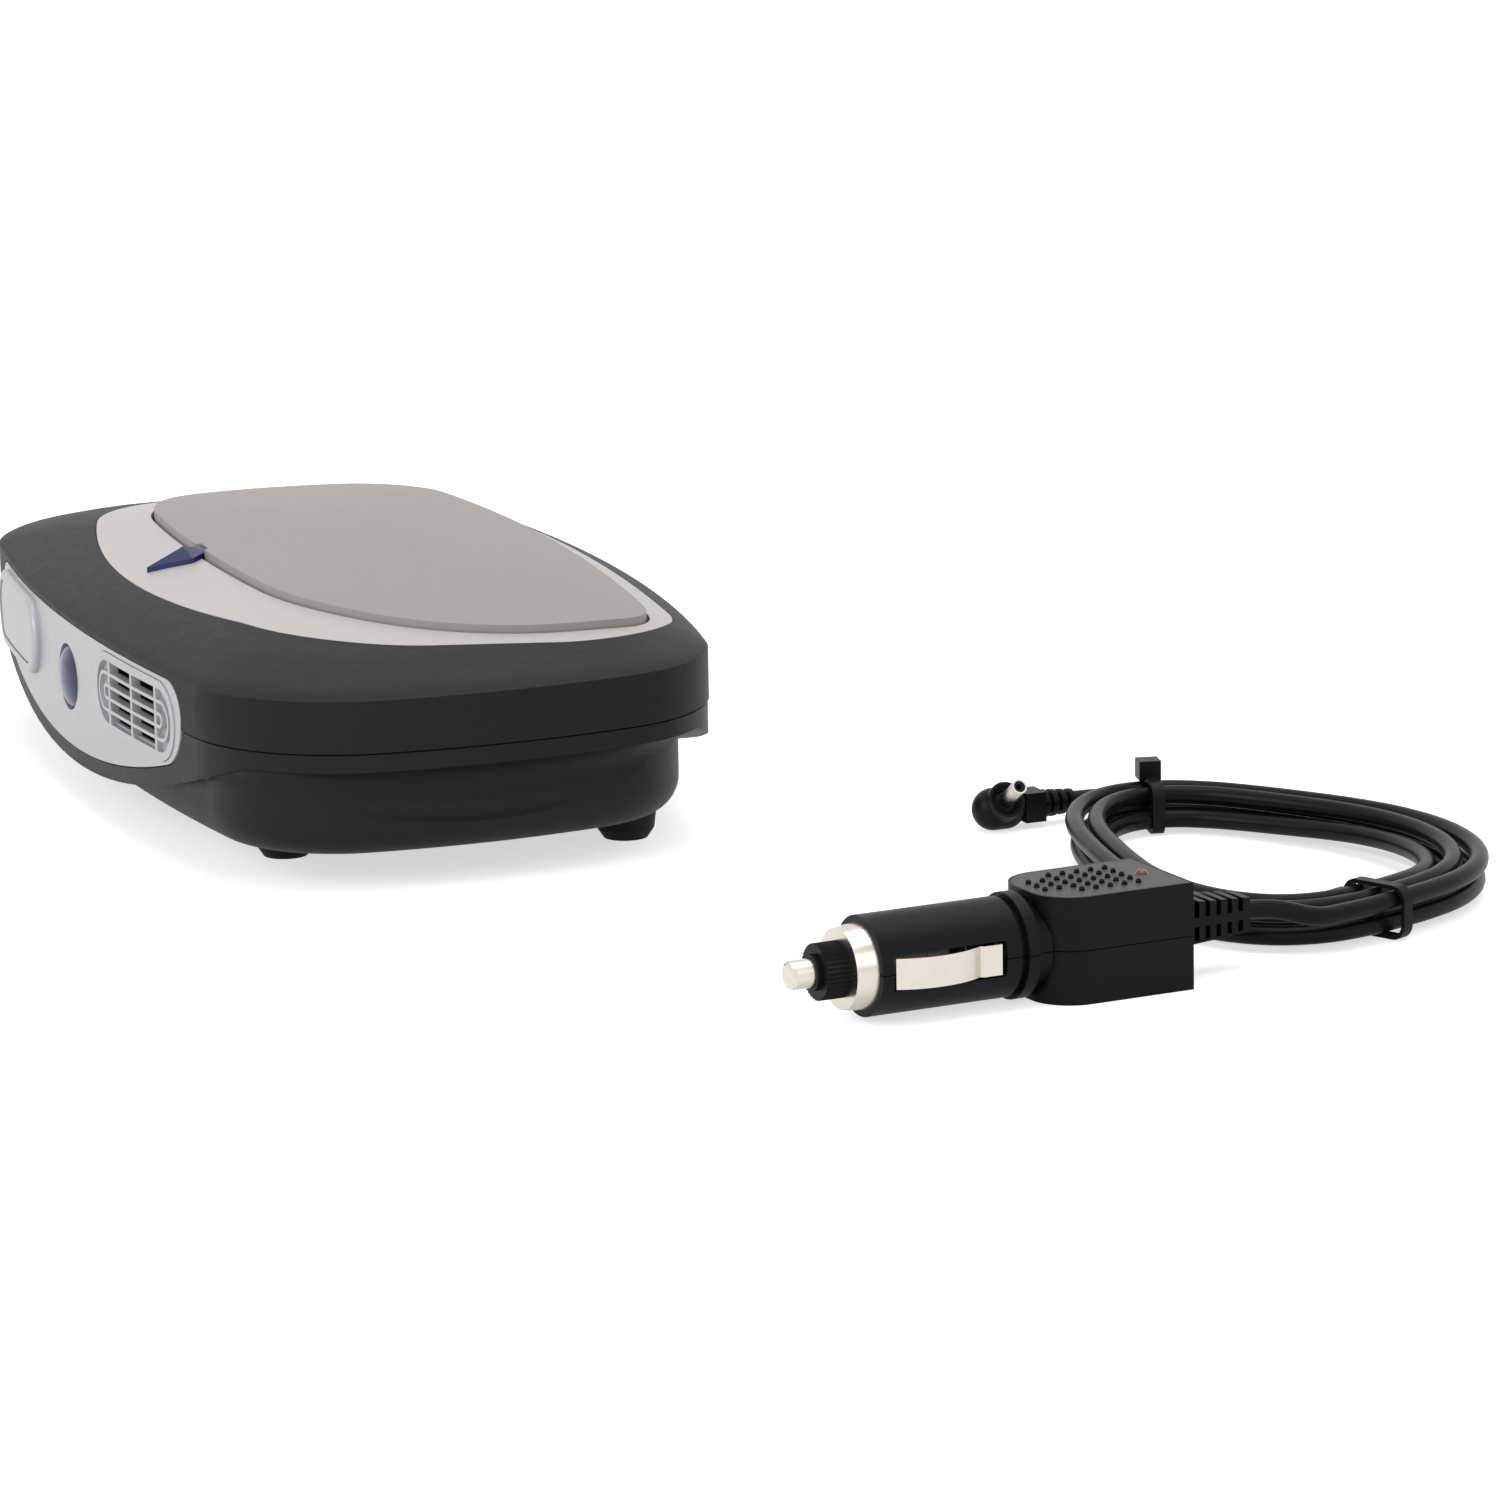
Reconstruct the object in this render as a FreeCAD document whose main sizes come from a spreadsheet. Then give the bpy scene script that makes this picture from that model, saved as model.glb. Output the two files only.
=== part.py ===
import FreeCAD, Part
import math
import os
import re
import Sketcher

# A car air purifier with its lead and lighter-socket plug, in millimetres.
# The frame's origin is on the floor under the middle of the case, the front is -Y and up is +Z.

Vector = FreeCAD.Vector
Rotation = FreeCAD.Rotation
Z_AXIS = Vector(0, 0, 1)

doc = FreeCAD.newDocument("CarAirPurifier")
sheet = doc.addObject("Spreadsheet::Sheet", "Dimensions")

# Case: outline of tangent arcs, heights and walls
CASE = {
    "half_width": 125.0,
    "front_depth": 66.2,
    "rear_depth": 67.9,
    "widest_y": -8.0,
    "front_radius": 665.0,
    "side_radius": 176.0,
    "rear_radius": 482.0,
    "front_corner": 38.0,
    "rear_corner": 36.0,
    "foot_height": 7.9,
    "rim_z": 28.3,
    "parting_z": 32.6,
    "crease_z": 44.2,
    "dome_rise": 16.4,
    "dome_power": 1.41,
    "dome_edge": 0.76,
    "wall": 2.6,
    "parting_line": 0.4,
    "lip_inset": 1.2,
    "belly_inset": 5.6,
    "base_inset": 12.5,
    "base_round": 7.5,
    "chin_z": 10.0,
    "chin_radius": 330.0,
    "belly_shift": 1.6,
    "side_wall": 3.7,
    "skin_inset": 0.3,
    "scoop_sag": 0.4,
    "scoop_overlap": 1.0,
    "scoop_reach": 6.0,
    "flank_share": 0.3,
    "flank_inset": 0.15,
}

# Long soft hollow of each side: distance along the side from its widest point, and its lower edge's height
SCOOP_EDGE = [
    (-80.0, 19.2),
    (-62.0, 21.8),
    (-46.0, 22.0),
    (-32.0, 19.2),
    (-16.0, 15.8),
    (4.0, 13.9),
    (24.0, 15.0),
    (44.0, 18.7),
    (62.0, 22.0),
    (77.0, 24.6),
    (92.0, 26.8),
]

# Top: silver ring, grey pad and the small blue lens at the front of the pad
TOP = {
    "inlay_depth": 2.3,
    "seat_gap": 0.15,
    "ring_half_width": 103.4,
    "ring_front": 50.8,
    "ring_rear": 59.7,
    "ring_widest_y": 36.5,
    "ring_front_radius": 244.9,
    "ring_side_radius": 260.1,
    "ring_rear_radius": 950.0,
    "ring_front_corner": 43.1,
    "ring_rear_corner": 34.7,
    "pad_half_width": 96.8,
    "pad_front": 33.5,
    "pad_rear": 51.4,
    "pad_widest_y": 18.3,
    "pad_front_radius": 540.0,
    "pad_side_radius": 65.7,
    "pad_rear_radius": 950.0,
    "pad_front_corner": 53.4,
    "pad_rear_corner": 13.1,
    "pad_gap": 0.8,
    "pad_proud": 1.7,
    "drop_tip_y": -46.3,
    "drop_wide_y": -36.9,
    "drop_rear_y": -32.4,
    "drop_half_width": 6.2,
    "drop_rear_half": 3.0,
    "drop_edge": 1.2,
    "drop_peak": 3.2,
    "drop_peak_y": -37.5,
    "drop_back": 1.9,
    "drop_back_y": -34.4,
    "drop_clearance": 0.12,
    "drop_stem_radius": 1.6,
    "drop_stem_y": -43.0,
    "drop_stem_length": 7.0,
}

# Front: silver panel with the round lens, the outlet grille and the push button
FRONT = {
    "panel_top_z": 42.8,
    "panel_bottom_z": 13.8,
    "panel_half_length": 83.5,
    "panel_bottom_radius": 300.0,
    "panel_corner": 12.0,
    "panel_thick": 1.3,
    "panel_gap": 0.35,
    "front_centre_z": 32.6,
    "bezel_radius": 9.3,
    "ridge_a": 1.9,
    "ridge_b_radius": 4.29,
    "ridge_c_radius": 1.43,
    "slot_height": 2.1,
    "dish_half_width": 24.7,
    "dish_half_height": 19.0,
    "dish_depth": 4.0,
    "dish_offset": 3.4,
    "grille_x": 53.0,
    "grille_half_length": 27.0,
    "grille_radius": 9.1,
    "ridge": 0.8,
    "ridge_proud": 0.3,
    "ridge_b_half_length": 23.5,
    "ridge_c_half_length": 19.6,
    "field_back": 1.0,
    "louvre_depth": 4.2,
    "bar_offset": 15.8,
    "slat_pitch": 2.86,
    "bar_half": 0.6,
    "grille_flange": 0.6,
    "flange_thick": 1.0,
    "panel_seat": 0.1,
    "button_x": -54.0,
    "bezel_half_length": 26.0,
    "bezel_width": 2.3,
    "bezel_proud": 1.9,
    "bezel_round": 1.2,
    "button_gap": 0.3,
    "button_proud": 1.6,
    "button_travel": 0.8,
    "button_flange": 1.0,
    "button_flange_thick": 1.2,
    "lens_half_width": 8.6,
    "lens_half_height": 7.6,
    "lens_z": 29.4,
    "lens_bulge": 1.5,
    "lens_flange": 1.2,
    "lens_thick": 2.3,
    "window_gap": 0.15,
    "button_clearance": 0.4,
    "window_depth": 12.0,
}

# Inside: blower, filter, boards, ioniser and power jack
INSIDE = {
    "floor_thick": 2.4,
    "lower_wall": 2.5,
    "floor_edge": 3.2,
    "blower_x": 53.0,
    "blower_y": 2.0,
    "blower_radius": 36.0,
    "blower_wall": 1.8,
    "blower_bottom_z": 15.2,
    "blower_top_z": 40.4,
    "inlet_radius": 22.0,
    "duct_half_width": 17.8,
    "duct_bottom_z": 24.6,
    "impeller_radius": 30.0,
    "blade_root": 22.0,
    "blade_count": 24,
    "blade_thick": 0.9,
    "blade_lean": 35.0,
    "band_width": 2.0,
    "running_gap": 1.6,
    "hub_radius": 12.7,
    "hub_wall": 1.2,
    "motor_radius": 10.4,
    "motor_height": 14.0,
    "shaft_radius": 1.0,
    "bearing_clearance": 0.04,
    "hub_floor": 1.5,
    "shaft_grip": 0.02,
    "shaft_length": 10.0,
    "shaft_into_motor": 6.0,
    "disc_thick": 1.5,
    "filter_half_x": 26.0,
    "filter_half_y": 26.0,
    "filter_height": 4.5,
    "filter_clearance": 0.3,
    "media_thick": 0.6,
    "media_pitch": 4.0,
    "ear_radius": 41.0,
    "ear_half": 5.4,
    "ear_thick": 2.0,
    "rib_thick": 1.5,
    "frame_wall": 1.8,
    "slot_count": 7,
    "slot_width": 3.0,
    "slot_pitch": 7.0,
    "slot_half_length": 24.0,
    "board_x": -62.0,
    "board_y": 4.0,
    "board_half_x": 30.0,
    "board_half_y": 20.0,
    "board_thick": 1.6,
    "board_post": 5.0,
    "chip_half_x": 6.0,
    "chip_half_y": 5.0,
    "chip_height": 2.0,
    "coil_can_radius": 5.0,
    "coil_can_height": 7.0,
    "can_radius": 4.0,
    "can_height": 10.0,
    "can_shift_x": 17.0,
    "can_shift_y": 8.0,
    "post_radius": 2.6,
    "control_front": 15.0,
    "control_left": -80.0,
    "control_right": 12.0,
    "control_bottom_z": 14.0,
    "control_height": 27.0,
    "rail_grip": 2.0,
    "rail_width": 4.0,
    "rail_height": 16.0,
    "board_clearance": 0.1,
    "switch_half": 3.0,
    "switch_depth": 3.4,
    "plunger_radius": 1.7,
    "plunger_clearance": 0.05,
    "led_radius": 2.5,
    "led_height": 7.5,
    "led_gap": 0.3,
    "ioniser_x": -60.0,
    "ioniser_y": 36.0,
    "ioniser_half_x": 18.0,
    "ioniser_half_y": 8.0,
    "ioniser_height": 16.0,
    "needle_radius": 0.4,
    "needle_length": 9.0,
    "needle_spread": 9.0,
    "needle_bar": 2.4,
    "needle_y": -48.0,
    "jack_x": -38.0,
    "jack_z": 17.0,
    "jack_radius": 4.4,
    "jack_clearance": 0.1,
    "jack_proud": 0.4,
    "jack_length": 14.0,
    "jack_bore": 1.85,
    "jack_bore_depth": 9.5,
    "jack_pin": 0.6,
    "screw_x": 100.0,
    "screw_front_y": -16.0,
    "screw_rear_y": 20.0,
    "boss_radius": 4.0,
    "screw_radius": 1.5,
    "screw_clearance": 0.2,
    "screw_head_radius": 2.9,
    "screw_head_height": 2.2,
    "screw_grip": 6.5,
    "screw_bore_radius": 3.3,
    "screw_shoulder_z": 12.0,
    "foot_front_x": 73.3,
    "foot_front_y": -35.1,
    "foot_rear_x": 86.8,
    "foot_rear_y": 40.7,
    "foot_radius": 7.2,
    "foot_step": 6.5,
    "foot_step_height": 2.2,
    "foot_tread": 5.0,
    "foot_spigot": 2.5,
    "foot_spigot_height": 2.0,
    "foot_clearance": 0.05,
}

# Lighter-socket plug: its own frame has +X towards the lead, with the floor under its middle
ADAPTER = {
    "adapter_x": 253.8,
    "adapter_y": 102.4,
    "adapter_yaw": 97.5,
    "box_length": 33.0,
    "box_half_width": 12.7,
    "box_height": 22.6,
    "box_corner": 9.0,
    "box_wall": 1.8,
    "axis_z": 11.3,
    "barrel_radius": 10.45,
    "barrel_bore": 7.2,
    "barrel_front": -70.7,
    "neck_x": -33.0,
    "collar_x": -37.4,
    "groove_x": -38.8,
    "collar_radius": 11.1,
    "neck_radius": 9.6,
    "seam_gap": 0.2,
    "plate_thick": 1.2,
    "plate_margin": 0.5,
    "plate_gap": 0.1,
    "dot_radius": 0.6,
    "dot_rise": 0.3,
    "dot_gap": 0.08,
    "dot_start_x": -29.6,
    "dot_pitch_x": 3.32,
    "dot_pitch_y": 3.5,
    "dot_rows": 7,
    "led_x": -5.0,
    "led_dome": 1.6,
    "ring_front_x": -75.4,
    "ring_outer": 9.0,
    "ring_face": 8.4,
    "ring_seat": 6.9,
    "ring_spigot": 4.0,
    "ring_bore": 4.9,
    "nut_front_x": -80.8,
    "nut_radius": 5.9,
    "nut_neck": 4.85,
    "knurl_count": 36,
    "knurl_depth": 0.35,
    "tip_front_x": -87.0,
    "tip_radius": 3.05,
    "tip_clearance": 0.06,
    "tip_round": 0.9,
    "tip_flange": 4.0,
    "tip_flange_thick": 1.2,
    "tip_back_x": -74.0,
    "tip_travel": 2.5,
    "fuse_radius": 3.1,
    "fuse_length": 20.0,
    "fuse_cap": 5.0,
    "fuse_cap_thick": 0.3,
    "spring_wire": 0.6,
    "spring_radius": 2.4,
    "spring_turns": 5,
    "leaf_front_x": -67.5,
    "leaf_back_x": -43.2,
    "leaf_half_height": 3.2,
    "leaf_thick": 0.4,
    "leaf_bow": 2.2,
    "leaf_seat_y": 10.1,
    "slot_margin": 0.5,
    "slot_end": 1.0,
    "leaf_dip": 0.6,
    "leaf_tab": 4.2,
    "pcb_half_width": 10.7,
    "pcb_length": 20.0,
    "pcb_z": 4.0,
    "relief_length": 18.8,
    "relief_z": 11.6,
    "relief_half_width": 4.8,
    "relief_half_height": 4.8,
    "relief_end_scale": 0.757,
    "relief_slots": 5,
    "relief_slot_start": 5.6,
    "relief_slot_width": 1.2,
    "relief_slot_pitch": 2.7,
    "relief_slot_depth": 1.3,
    "relief_slot_gap": 1.9,
    "relief_slot_edge": 0.5,
    "relief_flange": 1.2,
    "relief_gap": 0.1,
    "inner_gap": 0.3,
}

# Lead: round cable, oval coil in two layers, ties and the small angled plug
LEAD = {
    "cord_radius": 2.1,
    "coil_x": 187.3,
    "coil_y": 153.2,
    "coil_tilt": -3.4,
    "coil_half_length": 63.0,
    "coil_half_width": 42.8,
    "coil_lobe": 0.094,
    "coil_lobe_angle": 243.5,
    "coil_step_long": 5.6,
    "coil_step_wide": 5.3,
    "coil_turns_top": 2.25,
    "coil_turns_low": 2.18,
    "layer_gap": 0.7,
    "tie_width": 2.8,
    "tie_thick": 0.9,
    "tie_clearance": 0.4,
    "tie_head": 5.0,
    "tie_head_height": 4.4,
    "left_tie_turn": 0.515,
    "right_tie_turn": 1.035,
    "plug_x": 112.8,
    "plug_y": 138.5,
    "plug_yaw": -86.0,
    "plug_tilt": 57.0,
    "plug_axis_z": 4.8,
    "plug_seat_radius": 4.3,
    "plug_seat_reach": 5.4,
    "plug_dish_depth": 1.6,
    "plug_head_radius": 4.8,
    "plug_head_length": 12.6,
    "plug_neck_length": 4.0,
    "plug_neck_half": 3.4,
    "plug_relief_length": 7.8,
    "plug_relief_radius": 3.3,
    "plug_relief_end": 2.7,
    "plug_ribs": 3,
    "dc_radius": 1.75,
    "dc_bore": 0.68,
    "dc_wall": 0.4,
    "dc_length": 9.5,
    "dc_clearance": 0.02,
}

ALIASES = []
for group in (CASE, TOP, FRONT, INSIDE, ADAPTER, LEAD):
    for alias, number in group.items():
        ALIASES.append(alias)
        cell = "A%d" % len(ALIASES)
        sheet.set(cell, str(number))
        sheet.setAlias(cell, alias)
doc.recompute()


def size(text):
    """The value of an expression in the sheet's aliases."""
    return float(sheet.evalExpression(text))


def bound(text):
    """The same expression as another object writes it."""
    return re.sub(r"\b([a-z][a-z_]*[a-z])\b", lambda m: "Dimensions." + m.group(1)
                  if m.group(1) in ALIASES else m.group(1), text)


def bind(item, **properties):
    for name, text in properties.items():
        item.setExpression(name, bound(text))
    return item


def place(item, x="0", y="0", z="0", turn=None):
    if turn is not None:
        item.Placement = FreeCAD.Placement(Vector(0, 0, 0), turn)
    for axis, text in (("x", x), ("y", y), ("z", z)):
        item.setExpression("Placement.Base." + axis, bound(text))
    return item


TURNS = {
    "X": Rotation(Vector(0, 1, 0), 90),
    "Y": Rotation(Vector(1, 0, 0), -90),
    "Z": Rotation(),
}


def box(name, x, y, z):
    """A box from three pairs of expressions, low and high."""
    item = doc.addObject("Part::Box", name)
    spans = ["(%s)-(%s)" % (high, low) for low, high in (x, y, z)]
    bind(item, Length=spans[0], Width=spans[1], Height=spans[2])
    return place(item, x[0], y[0], z[0])


def cylinder(name, radius, height, x="0", y="0", z="0", along="Z"):
    item = doc.addObject("Part::Cylinder", name)
    bind(item, Radius=radius, Height=height)
    return place(item, x, y, z, TURNS[along])


def cone(name, low_radius, high_radius, height, x="0", y="0", z="0", along="Z"):
    item = doc.addObject("Part::Cone", name)
    bind(item, Radius1=low_radius, Radius2=high_radius, Height=height)
    return place(item, x, y, z, TURNS[along])


def form(name, shape):
    """A shape built with Part's own functions from the sheet's sizes."""
    item = doc.addObject("Part::Feature", name)
    item.Shape = shape
    return item


def fuse(name, *items):
    item = doc.addObject("Part::MultiFuse", name)
    item.Shapes = list(items)
    return item


def cut(name, base, *tools):
    item = doc.addObject("Part::Cut", name)
    item.Base = base
    item.Tool = tools[0] if len(tools) == 1 else fuse(name + "_tools", *tools)
    return item


def common(name, base, tool):
    item = doc.addObject("Part::Common", name)
    item.Base = base
    item.Tool = tool
    return item


def turned(name, profile, plane="XZ_Plane", axis="V_Axis"):
    """A body turned from a closed profile of expression pairs."""
    body = doc.addObject("PartDesign::Body", name)
    sketch = body.newObject("Sketcher::SketchObject", name + "_profile")
    origin = [item for item in body.Origin.OriginFeatures if item.Role == plane][0]
    sketch.AttachmentSupport = [(origin, "")]
    sketch.MapMode = "FlatFace"
    corners = [Vector(size(x), size(y), 0) for x, y in profile]
    count = len(corners)
    for i in range(count):
        sketch.addGeometry(Part.LineSegment(corners[i], corners[(i + 1) % count]), False)
    for i in range(count):
        sketch.addConstraint(Sketcher.Constraint("Coincident", i, 2, (i + 1) % count, 1))
    for i in range(count):
        for kind, text, number in (
            ("DistanceX", profile[i][0], corners[i].x),
            ("DistanceY", profile[i][1], corners[i].y),
        ):
            index = sketch.addConstraint(Sketcher.Constraint(kind, -1, 1, i, 1, number))
            sketch.setExpression("Constraints[%d]" % index, bound(text))
    turn = body.newObject("PartDesign::Revolution", name + "_turn")
    turn.Profile = sketch
    turn.ReferenceAxis = (sketch, [axis])
    turn.Angle = 360
    return body


NODES = []


def node(item, name):
    """Names a finished piece; the name is also its file's."""
    item.Label = name
    NODES.append(item)
    return item


def arc(centre, radius, start, end, z):
    """An arc in a level plane, from one angle to another."""
    points = []
    for angle in (start, (start + end) / 2, end):
        points.append(Vector(centre[0] + radius * math.cos(angle), centre[1] + radius * math.sin(angle), z))
    return Part.Arc(*points).toShape()


def meeting(first, first_radius, second, second_radius, side):
    """The point on the right-hand side where two circles cross, in front (-1) or behind (1)."""
    dx = second[0] - first[0]
    dy = second[1] - first[1]
    span = math.hypot(dx, dy)
    along = (first_radius ** 2 - second_radius ** 2 + span ** 2) / (2 * span)
    across = math.sqrt(first_radius ** 2 - along ** 2)
    points = []
    for sign in (-1, 1):
        points.append((
            first[0] + (dx * along - sign * dy * across) / span,
            first[1] + (dy * along + sign * dx * across) / span,
        ))
    return max(points, key=lambda point: point[0] + side * point[1])


def outline(kind, inset=0.0, scale=1.0, z=0.0):
    """A closed outline of eight tangent arcs, the same on the left and right."""
    names = {
        "case": ("half_width", "front_depth", "rear_depth", "widest_y", "front_radius",
                 "side_radius", "rear_radius", "front_corner", "rear_corner"),
        "ring": ("ring_half_width", "ring_front", "ring_rear", "ring_widest_y", "ring_front_radius",
                 "ring_side_radius", "ring_rear_radius", "ring_front_corner", "ring_rear_corner"),
        "pad": ("pad_half_width", "pad_front", "pad_rear", "pad_widest_y", "pad_front_radius",
                "pad_side_radius", "pad_rear_radius", "pad_front_corner", "pad_rear_corner"),
    }
    width, front, rear, widest, front_r, side_r, rear_r, front_c, rear_c = (size(n) for n in names[kind])
    side = (width - side_r, widest)
    fore = (0.0, front_r - front)
    aft = (0.0, rear - rear_r)
    near = meeting(fore, front_r - front_c, side, side_r - front_c, -1)
    far = meeting(aft, rear_r - rear_c, side, side_r - rear_c, 1)

    def heading(centre, point):
        return math.atan2(point[1] - centre[1], point[0] - centre[0])

    front_end = heading(fore, near)
    side_start = heading(side, near)
    side_end = heading(side, far)
    rear_start = heading(aft, far)
    turn = math.pi
    pieces = [
        (fore, front_r, -turn - front_end, front_end),
        (near, front_c, front_end, side_start),
        (side, side_r, side_start, side_end),
        (far, rear_c, side_end, rear_start),
        (aft, rear_r, rear_start, turn - rear_start),
    ]
    for centre, radius, start, end in reversed(pieces[1:4]):
        pieces.append(((-centre[0], centre[1]), radius, turn - end, turn - start))
    edges = []
    for centre, radius, start, end in pieces:
        middle = (centre[0] * scale, centre[1] * scale)
        edges.append(arc(middle, (radius - inset) * scale, start, end, z))
    return Part.Wire(edges)


def prism(kind, inset, low, high):
    """The outline, drawn in by inset, from one height to another."""
    return Part.Face(outline(kind, inset, 1.0, low)).extrude(Vector(0, 0, high - low))


def crown(share):
    """How far the dome stands above the crease where the outline is scaled to that share."""
    return size("dome_rise") * (1 - share ** size("dome_power")) ** size("dome_edge")


DOME_SHARES = (1.0, 0.985, 0.95, 0.88, 0.78, 0.64, 0.46, 0.26, 0.08)


def dome(lift, inset=0.0):
    """The solid under the domed top, raised or lowered by lift."""
    base = size("crease_z") + lift
    sections = [outline("case", inset, share, base + crown(share)) for share in DOME_SHARES]
    return Part.makeLoft(sections, True, False)


def band(outer, inner):
    """The front half of a wall between two insets of the case's outline."""
    low = 0.0
    high = size("crease_z") + 1
    ring = prism("case", outer, low, high).cut(prism("case", inner, low, high))
    reach = 2 * size("half_width")
    front = Part.makeBox(2 * reach, reach, high, Vector(-reach, -reach, 0))
    return ring.common(front)


def facing(edges):
    """A long bar along Y whose section is a closed outline drawn in X and Z."""
    face = Part.Face(Part.Wire(edges))
    face.translate(Vector(0, -size("front_depth") - 10, 0))
    return face.extrude(Vector(0, size("front_depth"), 0))


def front_arc(x, z, radius, start, end):
    points = []
    for angle in (start, (start + end) / 2, end):
        points.append(Vector(x + radius * math.cos(angle), 0, z + radius * math.sin(angle)))
    return Part.Arc(*points).toShape()


def stadium(x, z, half_length, radius):
    """Edges of a slot-shaped outline on the front."""
    run = half_length - radius
    quarter = math.pi / 2
    corners = [Vector(x + i * run, 0, z + j * radius) for i, j in ((-1, -1), (1, -1), (1, 1), (-1, 1))]
    return [
        Part.makeLine(corners[0], corners[1]),
        front_arc(x + run, z, radius, -quarter, quarter),
        Part.makeLine(corners[2], corners[3]),
        front_arc(x - run, z, radius, quarter, 3 * quarter),
    ]


def smile(grow):
    """Edges of the front panel's outline: flat on top, a long arc below, round ends."""
    top = size("panel_top_z") + grow
    end = size("panel_half_length") + grow
    long_radius = size("panel_bottom_radius") + grow
    corner = size("panel_corner") + grow
    middle_z = size("panel_bottom_z") + size("panel_bottom_radius")
    low_x = end - corner
    low_z = middle_z - math.sqrt((long_radius - corner) ** 2 - low_x ** 2)
    high_radius = top - low_z
    high_x = end - high_radius
    lean = math.atan2(low_z - middle_z, low_x)
    quarter = math.pi / 2
    return [
        Part.makeLine(Vector(-high_x, 0, top), Vector(high_x, 0, top)),
        front_arc(high_x, low_z, high_radius, quarter, 0),
        front_arc(low_x, low_z, corner, 0, lean),
        front_arc(0, middle_z, long_radius, lean, -math.pi - lean),
        front_arc(-low_x, low_z, corner, -math.pi - lean, -math.pi),
        front_arc(-high_x, low_z, high_radius, math.pi, quarter),
    ]


# Outer forms of the case
half_width = size("half_width")
parting_z = size("parting_z")
crease_z = size("crease_z")
rim_z = size("rim_z")
base_z = size("foot_height")
seam_z = parting_z - size("parting_line")
wall = size("wall")
inlay = size("inlay_depth")
belly = size("belly_inset")
floor_z = base_z + size("floor_thick")
below_roof = crease_z - inlay
above_roof = crease_z + size("dome_rise") + 10

upper_outer = form("upper_outer", prism("case", 0, parting_z, crease_z).fuse(dome(0)))
roof_drop = inlay + wall
upper_hollow = form("upper_hollow", prism("case", wall, parting_z, crease_z - roof_drop).fuse(
    dome(-roof_drop, wall)))
dome_low = form("dome_low", dome(-inlay))
inlay_hole = form("inlay_hole", prism("ring", -size("pad_gap") / 4, crease_z, above_roof))
inlay_tool = cut("inlay_tool", inlay_hole, dome_low)


def front_y(x):
    """Where the case's front wall stands at that x."""
    radius = size("front_radius")
    return radius - size("front_depth") - math.sqrt(radius ** 2 - x ** 2)


def oval(z, half_length, half_height):
    """Edge of an upright ellipse on the middle of the front."""
    edge = Part.Ellipse(Vector(0, 0, 0), half_length, half_height).toShape()
    edge.rotate(Vector(0, 0, 0), Vector(1, 0, 0), 90)
    edge.translate(Vector(0, 0, z))
    return [edge]


def compound(name, *items):
    item = doc.addObject("Part::Compound", name)
    item.Links = list(items)
    return item


def mirrored_pair(x, y):
    """The same place on the left and on the right."""
    return ((x, y), ("-(%s)" % x, y))


# Screws, their bosses and the feet
SCREWS = mirrored_pair("screw_x", "screw_front_y") + mirrored_pair("screw_x", "screw_rear_y")
FEET = mirrored_pair("foot_front_x", "foot_front_y") + mirrored_pair("foot_rear_x", "foot_rear_y")
SEAM = "parting_z-parting_line"
FLOOR = "foot_height+floor_thick"

upper_bosses = []
lower_bosses = []
screw_holes = []
screw_bores = []
screws = []
for number, (x, y) in enumerate(SCREWS):
    tag = "_%d" % number
    upper_bosses.append(cylinder("upper_boss" + tag, "boss_radius", "crease_z+2-(%s)" % SEAM, x, y, SEAM))
    lower_bosses.append(cylinder(
        "lower_boss" + tag, "screw_bore_radius+wall/2", "%s-foot_height" % SEAM, x, y, "foot_height"))
    screw_holes.append(cylinder(
        "screw_hole" + tag, "screw_radius+shaft_grip", "screw_grip+1", x, y, SEAM))
    screw_bores.append(cylinder(
        "screw_clear" + tag, "screw_radius+screw_clearance", "%s+1" % SEAM, x, y))
    screw_bores.append(cylinder("screw_bore" + tag, "screw_bore_radius", "screw_shoulder_z", x, y))
    shank = cylinder("screw_shank" + tag, "screw_radius", "%s+screw_grip-screw_shoulder_z" % SEAM,
                     x, y, "screw_shoulder_z")
    head = cylinder("screw_head" + tag, "screw_head_radius", "screw_head_height",
                    x, y, "screw_shoulder_z-screw_head_height")
    driver = box("screw_driver" + tag, ("%s-screw_radius" % x, "%s+screw_radius" % x),
                 ("%s-screw_radius/4" % y, "%s+screw_radius/4" % y),
                 ("screw_shoulder_z-screw_head_height", "screw_shoulder_z-screw_head_height/2"))
    screws.append(cut("screw" + tag, fuse("screw_solid" + tag, shank, head), driver))
node(compound("CaseScrews", *screws), "case_screws")

feet = []
foot_holes = []
for number, (x, y) in enumerate(FEET):
    tag = "_%d" % number
    tread = cone("foot_tread" + tag, "foot_tread", "foot_step", "foot_step_height", x, y)
    disc = cone("foot_disc" + tag, "foot_step", "foot_radius", "foot_height-foot_step_height", x, y,
                "foot_step_height")
    spigot = cylinder("foot_spigot" + tag, "foot_spigot", "foot_height+foot_spigot_height", x, y)
    feet.append(fuse("foot" + tag, tread, disc, spigot))
    foot_holes.append(cylinder(
        "foot_hole" + tag, "foot_spigot+foot_clearance", "foot_height+foot_spigot_height+foot_clearance", x, y))
node(compound("RubberFeet", *feet), "rubber_feet")

# Windows and recesses on the front that both shells share
panel_thick = size("panel_thick")
panel_seat = size("panel_seat")
window_depth = size("window_depth")
front_z = size("front_centre_z")
grille_x = size("grille_x")
grille_half = size("grille_half_length")
grille_radius = size("grille_radius")
button_x = size("button_x")
bezel_half = size("bezel_half_length")
bezel_radius = size("bezel_radius")
button_inset = size("bezel_width") + size("button_gap")
button_half = bezel_half - button_inset
button_radius = bezel_radius - button_inset
lens_z = size("lens_z")


def grille_shape(grow):
    return facing(stadium(grille_x, front_z, grille_half + grow, grille_radius + grow))


def button_shape(grow):
    return facing(stadium(button_x, front_z, button_half + grow, button_radius + grow))


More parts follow.
